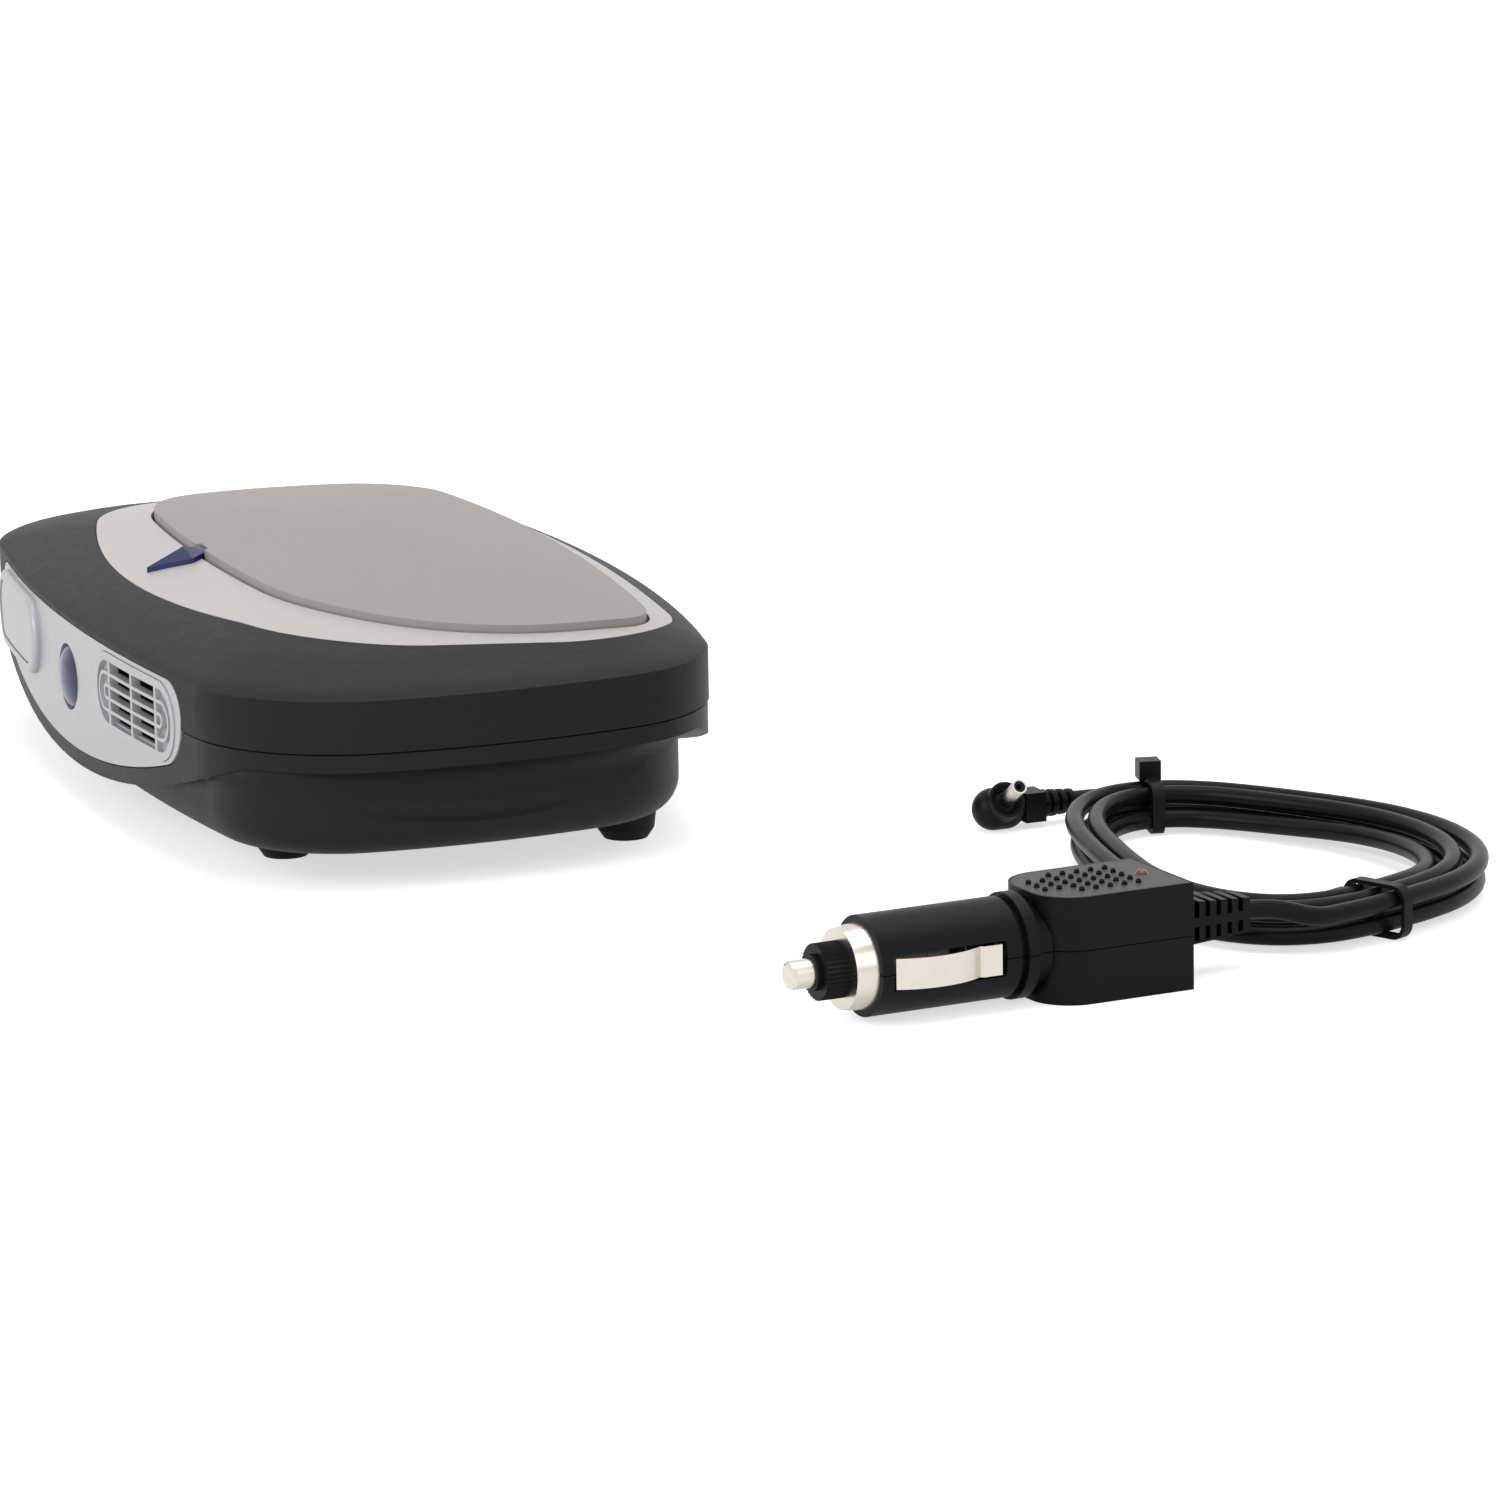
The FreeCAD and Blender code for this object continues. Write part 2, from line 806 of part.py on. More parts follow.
def lens_shape(grow):
    return facing(oval(lens_z, size("lens_half_width") + grow, size("lens_half_height") + grow))


panel_recess = form("panel_recess", band(-1, panel_thick + panel_seat).common(
    facing(smile(size("panel_gap")))))
deep = band(-1, window_depth)
flange = size("grille_flange") + size("window_gap")
press = size("button_flange") + size("button_clearance")
lens_room = size("lens_flange") + size("window_gap")
windows = form("front_windows", Part.makeCompound([
    deep.common(grille_shape(flange)),
    deep.common(button_shape(press)),
    deep.common(lens_shape(lens_room)),
]))

# Upper shell
lip = form("upper_lip", prism("case", size("lip_inset"), seam_z, parting_z + 1).cut(
    prism("case", wall, seam_z, parting_z + 1)))


def kite(grow):
    """The small blue lens's outline as a face, level with the ground."""
    corners = [
        ("0", "drop_tip_y"),
        ("drop_half_width", "drop_wide_y"),
        ("drop_rear_half", "drop_rear_y"),
        ("-drop_rear_half", "drop_rear_y"),
        ("-drop_half_width", "drop_wide_y"),
    ]
    points = [Vector(size(x), size(y), 0) for x, y in corners]
    wire = Part.makePolygon(points + points[:1])
    if grow > 0:
        wire = wire.makeOffset2D(grow, 2)
    return Part.Face(wire)


drop_pocket = form("drop_pocket", kite(size("drop_clearance")).extrude(Vector(0, 0, 100)))
stem_hole = cylinder("stem_hole", "drop_stem_radius+drop_clearance", "100", "0", "drop_stem_y")
roof_bosses = common("roof_bosses", fuse("upper_boss_set", *upper_bosses), upper_outer)
upper_skin = cut("upper_skin", upper_outer, upper_hollow, inlay_tool)
upper_whole = fuse("upper_whole", upper_skin, lip, roof_bosses)
node(cut("UpperShell", upper_whole, panel_recess, windows, stem_hole, *screw_holes), "upper_shell")

# Lower shell: a chin that smiles across the front and back over a rounded belly with scooped sides
skin_inset = size("skin_inset")
chin = form("chin_block", prism("case", skin_inset, size("chin_z"), rim_z))
chin_round = cylinder("chin_round", "chin_radius", "4*half_width", "0", "-2*half_width",
                      "chin_z+chin_radius", "Y")
chin_part = common("chin", chin, chin_round)
rim = form("rim_block", prism("case", skin_inset, rim_z, seam_z))
round_steps = 4
belly_sections = []
for step in range(round_steps + 1):
    lean = math.pi / 2 * step / round_steps
    inset = belly + (size("base_inset") - belly) * (1 - math.cos(lean))
    height = base_z + size("base_round") * (1 - math.sin(lean))
    belly_sections.append(outline("case", inset, 1.0, height))
belly_top = base_z + size("base_round")
belly_set = Vector(0, -size("belly_shift"), 0)
belly_solid = Part.makeLoft(belly_sections, True, False).fuse(prism("case", belly, belly_top, rim_z))
belly_form = form("belly_form", belly_solid.translate(belly_set))
side_edges = outline("case").Edges[:5]


def along_side(run):
    """A point of the outline that far along from the side's widest point, and the way out of the case there."""
    lead = size("side_radius") * math.asin(
        (size("widest_y") - side_edges[2].valueAt(side_edges[2].FirstParameter).y) / size("side_radius"))
    distance = side_edges[0].Length + side_edges[1].Length + lead + run
    for edge in side_edges:
        if distance <= edge.Length:
            break
        distance -= edge.Length
    parameter = edge.getParameterByLength(distance)
    heading = edge.tangentAt(parameter)
    return edge.valueAt(parameter), Vector(heading.y, -heading.x, 0)


def scoop():
    """The right side's hollow: an arc from the belly's wall up to the skirt's lower edge."""
    sections = []
    for run, low_z in SCOOP_EDGE:
        point, out = along_side(run)
        chin_edge = size("chin_z") + size("chin_radius") - math.sqrt(size("chin_radius") ** 2 - point.x ** 2)
        upward = Vector(0, 0, min(chin_edge, rim_z))
        inset = belly + size("belly_shift") * out.y - size("scoop_overlap") / 2
        low = point - out * inset + Vector(0, 0, low_z)
        high = point + out * size("scoop_overlap") + upward
        chord = high - low
        inward = (chord.cross(out)).cross(chord).normalize() * -1
        middle = (low + high) * 0.5 + inward * chord.z * size("scoop_sag")
        far_high = point + out * size("scoop_reach") + upward
        far_low = Vector(far_high.x, far_high.y, low.z - size("scoop_reach") / 2)
        sections.append(Part.Wire([
            Part.Arc(low, middle, high).toShape(),
            Part.makeLine(high, far_high),
            Part.makeLine(far_high, far_low),
            Part.makeLine(far_low, low),
        ]))
    return Part.makeLoft(sections, True, False)


def both_sides(name, shape):
    """A shape of the right side together with its mirror image."""
    return form(name, Part.makeCompound([shape, shape.mirror(Vector(0, 0, 0), Vector(1, 0, 0))]))


flank_skin = prism("case", skin_inset + size("flank_inset"), base_z, seam_z)
flank_bars = []
for (low_run, low_z), (high_run, high_z) in zip(SCOOP_EDGE, SCOOP_EDGE[1:]):
    ends = []
    for run in (low_run, high_run):
        point, out = along_side(run)
        ends.append((point - out * (belly + size("side_wall")), point + out * 2 * size("scoop_overlap")))
    corners = [ends[0][0], ends[0][1], ends[1][1], ends[1][0]]
    floor = max(low_z, high_z) + size("flank_share") * (rim_z - max(low_z, high_z))
    plan = Part.Face(Part.makePolygon(corners + corners[:1]))
    bar = plan.extrude(Vector(0, 0, rim_z + 1 - floor)).translate(Vector(0, 0, floor)).common(flank_skin)
    flank_bars.append(both_sides("flank_%d" % len(flank_bars), bar))
room_low = prism("case", belly + size("side_wall") + size("floor_edge"), floor_z, floor_z + size("floor_edge"))
room_high = prism("case", belly + size("side_wall"), floor_z + size("lower_wall"), rim_z + 10)
hollow = form("lower_hollow", room_high.fuse(room_low).translate(belly_set))
belly_part = cut("belly", fuse("belly_and_flanks", belly_form, *flank_bars), both_sides("scoops", scoop()))
lower_base = cut("lower_base", fuse("lower_solid", chin_part, rim, belly_part), hollow)

blower_posts = []
ears = []
ear_screws = []
for number in range(4):
    angle = 45 + 90 * number
    x = "blower_x+ear_radius*%s" % round(math.cos(math.radians(angle)), 6)
    y = "blower_y+ear_radius*%s" % round(math.sin(math.radians(angle)), 6)
    tag = "_%d" % number
    blower_posts.append(cylinder("blower_post" + tag, "post_radius", "blower_bottom_z-(%s)" % FLOOR, x, y, FLOOR))
    ears.append(cylinder("blower_ear" + tag, "ear_half", "ear_thick", x, y, "blower_bottom_z"))
    ear_screws.append(cylinder("ear_screw" + tag, "screw_head_radius", "screw_head_height",
                               x, y, "blower_bottom_z+ear_thick"))
board_posts = []
for number, (i, j) in enumerate(((-1, -1), (1, -1), (1, 1), (-1, 1))):
    x = "board_x+%d*(board_half_x-post_radius)" % i
    y = "board_y+%d*(board_half_y-post_radius)" % j
    board_posts.append(cylinder("board_post_%d" % number, "post_radius", "board_post", x, y, FLOOR))

BOARD_BACK = "control_front+board_thick-front_depth"
BOARD_FRONT = "control_front-front_depth"
rails = []
for side, edge in (("left", "control_left"), ("right", "control_right")):
    inward = "+" if side == "left" else "-"
    span = ["%s%srail_grip" % (edge, inward), "%s%s(rail_grip-rail_width)" % (edge, inward)]
    if side == "left":
        span.reverse()
    rails.append(box("rail_" + side, span, ("%s-rail_grip" % BOARD_FRONT, "%s+rail_grip" % BOARD_BACK),
                     (FLOOR, "%s+rail_height" % FLOOR)))
rail_slot = box("rail_slot", ("control_left-board_clearance", "control_right+board_clearance"),
                ("%s-board_clearance" % BOARD_FRONT, "%s+board_clearance" % BOARD_BACK),
                ("control_bottom_z-board_clearance", "100"))
filter_ribs = []
for number, (i, j) in enumerate(((-1, 0), (1, 0), (0, -1), (0, 1))):
    centre_x = "blower_x+%d*(filter_half_x+filter_clearance+rib_thick/2)" % i
    centre_y = "blower_y+%d*(filter_half_y+filter_clearance+rib_thick/2)" % j
    half_x = "rib_thick/2" if i else "filter_half_x/2"
    half_y = "rib_thick/2" if j else "filter_half_y/2"
    filter_ribs.append(box("filter_rib_%d" % number, ("%s-%s" % (centre_x, half_x), "%s+%s" % (centre_x, half_x)),
                           ("%s-%s" % (centre_y, half_y), "%s+%s" % (centre_y, half_y)),
                           (FLOOR, "%s+filter_height/2" % FLOOR)))
intake_slots = []
for number in range(int(size("slot_count"))):
    x = "blower_x+(%d-(slot_count-1)/2)*slot_pitch" % number
    intake_slots.append(box("intake_slot_%d" % number, ("%s-slot_width/2" % x, "%s+slot_width/2" % x),
                            ("blower_y-slot_half_length", "blower_y+slot_half_length"), ("0", "%s+1" % FLOOR)))
jack_hole = cylinder("jack_hole", "jack_radius+jack_clearance", "jack_length+20", "jack_x",
                     "rear_depth-jack_length-5", "jack_z", "Y")
lower_bosses_in = common("lower_bosses_in", fuse("lower_boss_set", *lower_bosses), form(
    "boss_limit", prism("case", belly, base_z, seam_z)))
lower_whole = fuse("lower_whole", lower_base, lower_bosses_in, *(blower_posts + board_posts + rails + filter_ribs))
node(cut("LowerShell", lower_whole, panel_recess, windows, rail_slot, jack_hole,
         *(screw_bores + foot_holes + intake_slots)), "lower_shell")

# Trim ring, pad and blue lens on the top
seat = form("inlay_seat", dome(size("seat_gap") - inlay))
ring_top = form("ring_block", prism("ring", 0, below_roof, above_roof).common(dome(0)))
ring_hole = form("ring_hole", prism("pad", -size("pad_gap"), below_roof, above_roof))
node(cut("TrimRing", ring_top, seat, ring_hole, drop_pocket), "trim_ring")

pad_block = form("pad_block", prism("pad", 0, below_roof, above_roof).common(dome(size("pad_proud"))))
pad_cut = cut("pad_cut", pad_block, seat, drop_pocket)
node(pad_cut, "top_pad")


def roof_z(y):
    """Height of the dome on its middle line."""
    return crease_z + crown(abs(y) / size("front_depth"))


def drop_lens():
    """A low gem: five upright sides and five sloping facets that meet in a short ridge."""
    plan = [
        (0.0, size("drop_tip_y")),
        (size("drop_half_width"), size("drop_wide_y")),
        (size("drop_rear_half"), size("drop_rear_y")),
        (-size("drop_rear_half"), size("drop_rear_y")),
        (-size("drop_half_width"), size("drop_wide_y")),
    ]
    low = [Vector(x, y, roof_z(y) - inlay + 2 * size("seat_gap")) for x, y in plan]
    high = [Vector(x, y, roof_z(y) + size("drop_edge")) for x, y in plan]
    peak_y = size("drop_peak_y")
    back_y = size("drop_back_y")
    peak = Vector(0, peak_y, roof_z(peak_y) + size("drop_peak"))
    back = Vector(0, back_y, roof_z(back_y) + size("drop_back"))
    faces = [(low[0], low[4], low[1]), (low[1], low[4], low[3], low[2])]
    for i in range(5):
        j = (i + 1) % 5
        faces.append((low[i], low[j], high[j], high[i]))
    faces += [(high[0], high[1], peak), (high[0], peak, high[4]), (high[1], back, peak),
              (high[1], high[2], back), (high[4], peak, back), (high[4], back, high[3]),
              (high[2], high[3], back)]
    sides = [Part.Face(Part.makePolygon(list(corners) + [corners[0]])) for corners in faces]
    solid = Part.Solid(Part.Shell(sides))
    if solid.Volume < 0:
        solid.reverse()
    return solid


STEM_ROOF = "crease_z+dome_rise*(1-(abs(drop_stem_y)/front_depth)^dome_power)^dome_edge"
drop_stem = cylinder("drop_stem", "drop_stem_radius", "drop_stem_length", "0", "drop_stem_y",
                     STEM_ROOF + "-inlay_depth+4*seat_gap-drop_stem_length")
node(fuse("DropLens", form("drop_body", drop_lens()), drop_stem), "drop_lens")

# Front panel with its raised button rim
bezel = facing(stadium(button_x, front_z, bezel_half, bezel_radius)).common(
    band(-size("bezel_proud"), panel_thick))
front_edges = [edge for edge in bezel.Edges if all(
    vertex.Point.y < front_y(vertex.Point.x) - size("bezel_proud") / 2 for vertex in edge.Vertexes)]
bezel = bezel.makeFillet(size("bezel_round"), front_edges)
panel_sheet = facing(smile(0)).common(band(0, panel_thick))
panel_solid = form("panel_solid", panel_sheet.fuse(bezel))
panel_holes = form("panel_holes", Part.makeCompound([
    deep.common(grille_shape(size("window_gap"))),
    band(-10, window_depth).common(button_shape(size("button_gap"))),
    deep.common(lens_shape(size("window_gap"))),
]))
dish = doc.addObject("Part::Ellipsoid", "lens_dish")
bind(dish, Radius1="dish_half_height", Radius2="dish_half_width", Radius3="dish_depth")
place(dish, "0", "-front_depth-dish_offset", "lens_z")
node(cut("FrontPanel", panel_solid, panel_holes, dish), "front_panel")

# Outlet grille: three slot-shaped ridges, one inside the other, and ten openings between upright bars
louvre = size("louvre_depth")


def ridge(half_length, radius, half_width):
    outer = facing(stadium(grille_x, front_z, half_length + half_width, radius + half_width))
    return outer.cut(facing(stadium(grille_x, front_z, half_length - half_width, radius - half_width)))


ridge_half = size("ridge") / 2
field_edge = size("ridge_a")
ridges = form("grille_ridges", ridge(size("ridge_b_half_length"), size("ridge_b_radius"), ridge_half).fuse(
    ridge(size("ridge_c_half_length"), size("ridge_c_radius"), ridge_half)))
grille_bars = []
for number in (-1, 0, 1):
    x = "grille_x+%d*bar_offset" % number
    grille_bars.append(box("grille_bar_%d" % (number + 1), (x + "-bar_half", x + "+bar_half"),
                           ("-2*front_depth", "0"),
                           ("front_centre_z-grille_radius+ridge_a", "front_centre_z+grille_radius-ridge_a")))
field = form("grille_field", grille_shape(-field_edge).common(band(-10, size("field_back"))))
field_tool = cut("grille_field_tool", field, ridges, *grille_bars)
grille_slots = []
for column in (0, 1):
    for row in range(-2, 3):
        low_x = "grille_x+%d*bar_offset+bar_half" % (column - 1)
        high_x = "grille_x+%d*bar_offset-bar_half" % column
        z = "front_centre_z+%d*slat_pitch" % row
        grille_slots.append(box("grille_slot_%d_%d" % (column, row + 2), (low_x, high_x), ("-2*front_depth", "0"),
                                (z + "-slot_height/2", z + "+slot_height/2")))
grille_rim = grille_shape(size("grille_flange")).common(
    band(panel_thick + panel_seat, panel_thick + panel_seat + size("flange_thick")))
grille_solid = form("grille_solid", grille_shape(0).common(band(-size("ridge_proud"), louvre)).fuse(grille_rim))
node(cut("OutletGrille", grille_solid, field_tool, *grille_slots), "outlet_grille")

# Button with its plunger, and the switch that it presses
flange_front = panel_thick + panel_seat
flange_back = flange_front + size("button_flange_thick")
button_solid = button_shape(0).common(band(-size("button_proud"), flange_back)).fuse(
    button_shape(size("button_flange")).common(band(flange_front, flange_back)))
node(form("ControlButton", button_solid), "control_button")
plunger_limit = form("plunger_limit", prism("case", flange_back + size("shaft_grip"), 0, crease_z))
plunger_bar = cylinder("plunger_bar", "plunger_radius",
                       "control_front-switch_depth-button_travel-board_clearance+20", "button_x",
                       "-front_depth-20", "front_centre_z", "Y")
node(common("SwitchPlunger", plunger_bar, plunger_limit), "switch_plunger")
switch_body = box("switch_body", ("button_x-switch_half", "button_x+switch_half"),
                  ("%s-switch_depth" % BOARD_FRONT, BOARD_FRONT),
                  ("front_centre_z-switch_half", "front_centre_z+switch_half"))
node(switch_body, "tact_switch")

# Round front lens with its flange
lens_cap = doc.addObject("Part::Ellipsoid", "lens_cap")
bind(lens_cap, Radius1="lens_half_height*1.02", Radius2="lens_half_width*1.02", Radius3="lens_bulge+lens_thick")
place(lens_cap, "0", "lens_thick-front_depth", "lens_z")
lens_limit = box("lens_limit", ("-half_width", "half_width"), ("-2*front_depth", "lens_thick-front_depth"),
                 ("0", "crease_z"))
lens_prism = form("lens_prism", lens_shape(0))
lens_rim = form("lens_rim", lens_shape(size("lens_flange")))
lens_rim_limit = box("lens_rim_limit", ("-half_width", "half_width"),
                     ("panel_thick+panel_seat-front_depth", "lens_thick-front_depth"), ("0", "crease_z"))
lens_core = common("lens_core", common("lens_front_part", lens_prism, lens_cap), lens_limit)
node(fuse("FrontLens", lens_core, common("lens_flange_part", lens_rim, lens_rim_limit)), "front_lens")

# Blower: drum and duct in one, the motor hung in its lid and the impeller round the motor
DUCT_LOW_X = "blower_x-duct_half_width"
DUCT_HIGH_X = "blower_x+duct_half_width"
blower_drum = cylinder("blower_drum", "blower_radius", "blower_top_z-blower_bottom_z",
                       "blower_x", "blower_y", "blower_bottom_z")
duct_outer = box("duct_outer", (DUCT_LOW_X, DUCT_HIGH_X), ("-2*front_depth", "blower_y"),
                 ("duct_bottom_z", "blower_top_z"))
duct_end = form("duct_end", prism("case", louvre + size("inner_gap"), 0, crease_z))
blower_room = cylinder("blower_room", "blower_radius-blower_wall", "blower_top_z-blower_bottom_z-2*blower_wall",
                       "blower_x", "blower_y", "blower_bottom_z+blower_wall")
duct_room = box("duct_room", (DUCT_LOW_X + "+blower_wall", DUCT_HIGH_X + "-blower_wall"),
                ("-2*front_depth", "blower_y"), ("duct_bottom_z+blower_wall", "blower_top_z-blower_wall"))
inlet_hole = cylinder("inlet_hole", "inlet_radius", "blower_wall*2", "blower_x", "blower_y",
                      "blower_bottom_z-blower_wall/2")
blower_outer = fuse("blower_outer", blower_drum, common("duct_trimmed", duct_outer, duct_end), *ears)
node(cut("BlowerHousing", blower_outer, blower_room, duct_room, inlet_hole), "blower_housing")
node(compound("BlowerScrews", *ear_screws), "blower_screws")

LID_Z = "blower_top_z-blower_wall"
motor_can = cylinder("motor_can", "motor_radius", "motor_height", "blower_x", "blower_y",
                     LID_Z + "-motor_height")
motor_bore = cylinder("motor_bore", "shaft_radius+bearing_clearance", "shaft_into_motor+1",
                      "blower_x", "blower_y", LID_Z + "-motor_height-1")
node(cut("FanMotor", motor_can, motor_bore), "fan_motor")
SHAFT_Z = LID_Z + "-motor_height+shaft_into_motor-board_clearance-shaft_length"
node(cylinder("MotorShaft", "shaft_radius", "shaft_length", "blower_x", "blower_y", SHAFT_Z), "motor_shaft")

WHEEL_LOW = "blower_bottom_z+blower_wall+running_gap"
WHEEL_TOP = LID_Z + "-running_gap"
HUB_FLOOR_TOP = LID_Z + "-motor_height-running_gap"
hub = cylinder("hub", "hub_radius", "%s-(%s-hub_floor)" % (WHEEL_TOP, HUB_FLOOR_TOP),
               "blower_x", "blower_y", HUB_FLOOR_TOP + "-hub_floor")
hub_room = cylinder("hub_room", "hub_radius-hub_wall", "100", "blower_x", "blower_y", HUB_FLOOR_TOP)
hub_hole = cylinder("hub_hole", "shaft_radius+shaft_grip", "100", "blower_x", "blower_y")
wheel_disc = cylinder("wheel_disc", "impeller_radius", "disc_thick", "blower_x", "blower_y",
                      WHEEL_TOP + "-disc_thick")
wheel_ring = cylinder("wheel_ring", "impeller_radius", "disc_thick", "blower_x", "blower_y", WHEEL_LOW)
wheel_ring_hole = cylinder("wheel_ring_hole", "impeller_radius-band_width", "disc_thick+2", "blower_x", "blower_y",
                           WHEEL_LOW + "-1")
blades = []
blade_low = size(WHEEL_LOW)
blade_high = size(WHEEL_TOP) - size("disc_thick") / 2
for number in range(int(size("blade_count"))):
    blade = Part.makeBox(size("impeller_radius") - size("blade_root"), size("blade_thick"),
                         blade_high - blade_low, Vector(size("blade_root"), 0, blade_low))
    blade.rotate(Vector(size("impeller_radius"), 0, 0), Z_AXIS, size("blade_lean"))
    blade.rotate(Vector(0, 0, 0), Z_AXIS, 360.0 * number / size("blade_count"))
    blade.translate(Vector(size("blower_x"), size("blower_y"), 0))
    blades.append(blade)
blade_set = form("blade_set", Part.makeCompound(blades))
wheel_solid = fuse("wheel_solid", hub, wheel_disc, cut("wheel_band", wheel_ring, wheel_ring_hole), blade_set)
wheel_reach = cylinder("wheel_reach", "impeller_radius", "100", "blower_x", "blower_y")
node(cut("Impeller", common("wheel_round", wheel_solid, wheel_reach), hub_room, hub_hole), "impeller")

# Filter: a frame on the floor with a folded sheet in it
FILTER_X = ("blower_x-filter_half_x", "blower_x+filter_half_x")
FILTER_Y = ("blower_y-filter_half_y", "blower_y+filter_half_y")
frame_block = box("frame_block", FILTER_X, FILTER_Y, (FLOOR, FLOOR + "+filter_height"))
frame_room = box("frame_room", (FILTER_X[0] + "+frame_wall", FILTER_X[1] + "-frame_wall"),
                 (FILTER_Y[0] + "+frame_wall", FILTER_Y[1] + "-frame_wall"), ("0", "100"))
node(cut("FilterFrame", frame_block, frame_room), "filter_frame")


def folded_sheet():
    """A zigzag strip across the frame, run from its front to its back."""
    half = size("filter_half_x") - size("frame_wall")
    low = floor_z + size("seat_gap")
    high = floor_z + size("filter_height") - size("seat_gap") - 2 * size("media_thick")
    folds = int(2 * half / size("media_pitch"))
    step = 2 * half / (2 * folds)
    line = []
    for i in range(2 * folds + 1):
        line.append(Vector(-half + i * step, 0, high if i % 2 else low))
    top = [Vector(point.x, 0, point.z + 2 * size("media_thick")) for point in reversed(line)]
    points = line + top
    face = Part.Face(Part.makePolygon(points + points[:1]))
    run = size("filter_half_y") - size("frame_wall")
    face.translate(Vector(size("blower_x"), size("blower_y") - run, 0))
    return face.extrude(Vector(0, 2 * run, 0))


node(form("FilterMedia", folded_sheet()), "filter_media")

# Boards, ioniser, needles, lamps and power jack
BOARD_Z = FLOOR + "+board_post"
board_sheet = box("board_sheet", ("board_x-board_half_x", "board_x+board_half_x"),
                  ("board_y-board_half_y", "board_y+board_half_y"), (BOARD_Z, BOARD_Z + "+board_thick"))
board_chip = box("board_chip", ("board_x-chip_half_x", "board_x+chip_half_x"),
                 ("board_y-chip_half_y", "board_y+chip_half_y"),
                 (BOARD_Z + "+board_thick", BOARD_Z + "+board_thick+chip_height"))
board_coil = cylinder("board_coil", "coil_can_radius", "coil_can_height", "board_x+can_shift_x",
                      "board_y-can_shift_y", BOARD_Z + "+board_thick")
board_can = cylinder("board_can", "can_radius", "can_height", "board_x-can_shift_x",
                     "board_y+can_shift_y", BOARD_Z + "+board_thick")
node(fuse("CircuitBoard", board_sheet, board_chip, board_coil, board_can), "circuit_board")
node(box("ControlBoard", ("control_left", "control_right"), (BOARD_FRONT, BOARD_BACK),
         ("control_bottom_z", "control_bottom_z+control_height")), "control_board")
led_shapes = []
front_led = cylinder("front_led_can", "led_radius", "led_height-led_radius", "0",
                     BOARD_FRONT + "-led_height+led_radius", "lens_z", "Y")
front_dome = doc.addObject("Part::Sphere", "front_led_dome")
bind(front_dome, Radius="led_radius")
place(front_dome, "0", BOARD_FRONT + "-led_height+led_radius", "lens_z")
top_led = cylinder("top_led_can", "led_radius", "led_height-led_radius", "0",
                   BOARD_BACK + "+led_radius+led_gap/3", "crease_z-2-led_height")
top_dome = doc.addObject("Part::Sphere", "top_led_dome")
bind(top_dome, Radius="led_radius")
place(top_dome, "0", BOARD_BACK + "+led_radius+led_gap/3", "crease_z-2-led_radius")
node(compound("IndicatorLeds", fuse("front_led", front_led, front_dome), fuse("top_led", top_led, top_dome)),
     "indicator_leds")
node(box("IoniserModule", ("ioniser_x-ioniser_half_x", "ioniser_x+ioniser_half_x"),
         ("ioniser_y-ioniser_half_y", "ioniser_y+ioniser_half_y"), (FLOOR, FLOOR + "+ioniser_height")),
     "ioniser_module")
needle_bar = box("needle_bar", (DUCT_LOW_X + "+blower_wall", DUCT_HIGH_X + "-blower_wall"),
                 ("needle_y", "needle_y+needle_bar"),
                 ("front_centre_z-needle_bar/2", "front_centre_z+needle_bar/2"))
needle_cones = []
needle_sockets = []
for number, sign in enumerate("-+"):
    x = "blower_x%sneedle_spread" % sign
    needle_cones.append(cone("needle_%d" % number, "0.05", "needle_radius", "needle_length",
                             x, "needle_y-needle_length+needle_bar/2", "front_centre_z", "Y"))
    needle_sockets.append(cylinder("needle_socket_%d" % number, "needle_radius+shaft_grip",
                                   "needle_bar/2+0.01", x, "needle_y", "front_centre_z", "Y"))
node(cut("NeedleHolder", needle_bar, *needle_sockets), "needle_holder")
node(compound("NeedleElectrodes", *needle_cones), "needle_electrodes")

JACK_WALL = "sqrt((rear_radius-belly_inset)^2-jack_x^2)-rear_radius+rear_depth-belly_shift"
jack_y = JACK_WALL + "+jack_proud-jack_length"
jack_body = cylinder("jack_body", "jack_radius", "jack_length", "jack_x", jack_y, "jack_z", "Y")
jack_bore = cylinder("jack_bore", "jack_bore", "jack_bore_depth+1", "jack_x",
                     jack_y + "+jack_length-jack_bore_depth", "jack_z", "Y")
jack_pin = cylinder("jack_pin", "jack_pin", "jack_bore_depth-1", "jack_x",
                    jack_y + "+jack_length-jack_bore_depth", "jack_z", "Y")
node(fuse("DcJack", cut("jack_shell", jack_body, jack_bore), jack_pin), "dc_jack")

# Lighter-socket plug, drawn about its own axis with +X towards the lead, then set in place


def seat_plug(item, z="axis_z"):
    yaw = Rotation(Z_AXIS, size("adapter_yaw"))
    item.Placement = FreeCAD.Placement(Vector(size("adapter_x"), size("adapter_y"), size(z)), yaw)
    item.setExpression("Placement.Base.x", "Dimensions.adapter_x")
    item.setExpression("Placement.Base.y", "Dimensions.adapter_y")
    item.setExpression("Placement.Base.z", bound(z))
    item.setExpression("Placement.Rotation.Angle", "Dimensions.adapter_yaw")
    return item


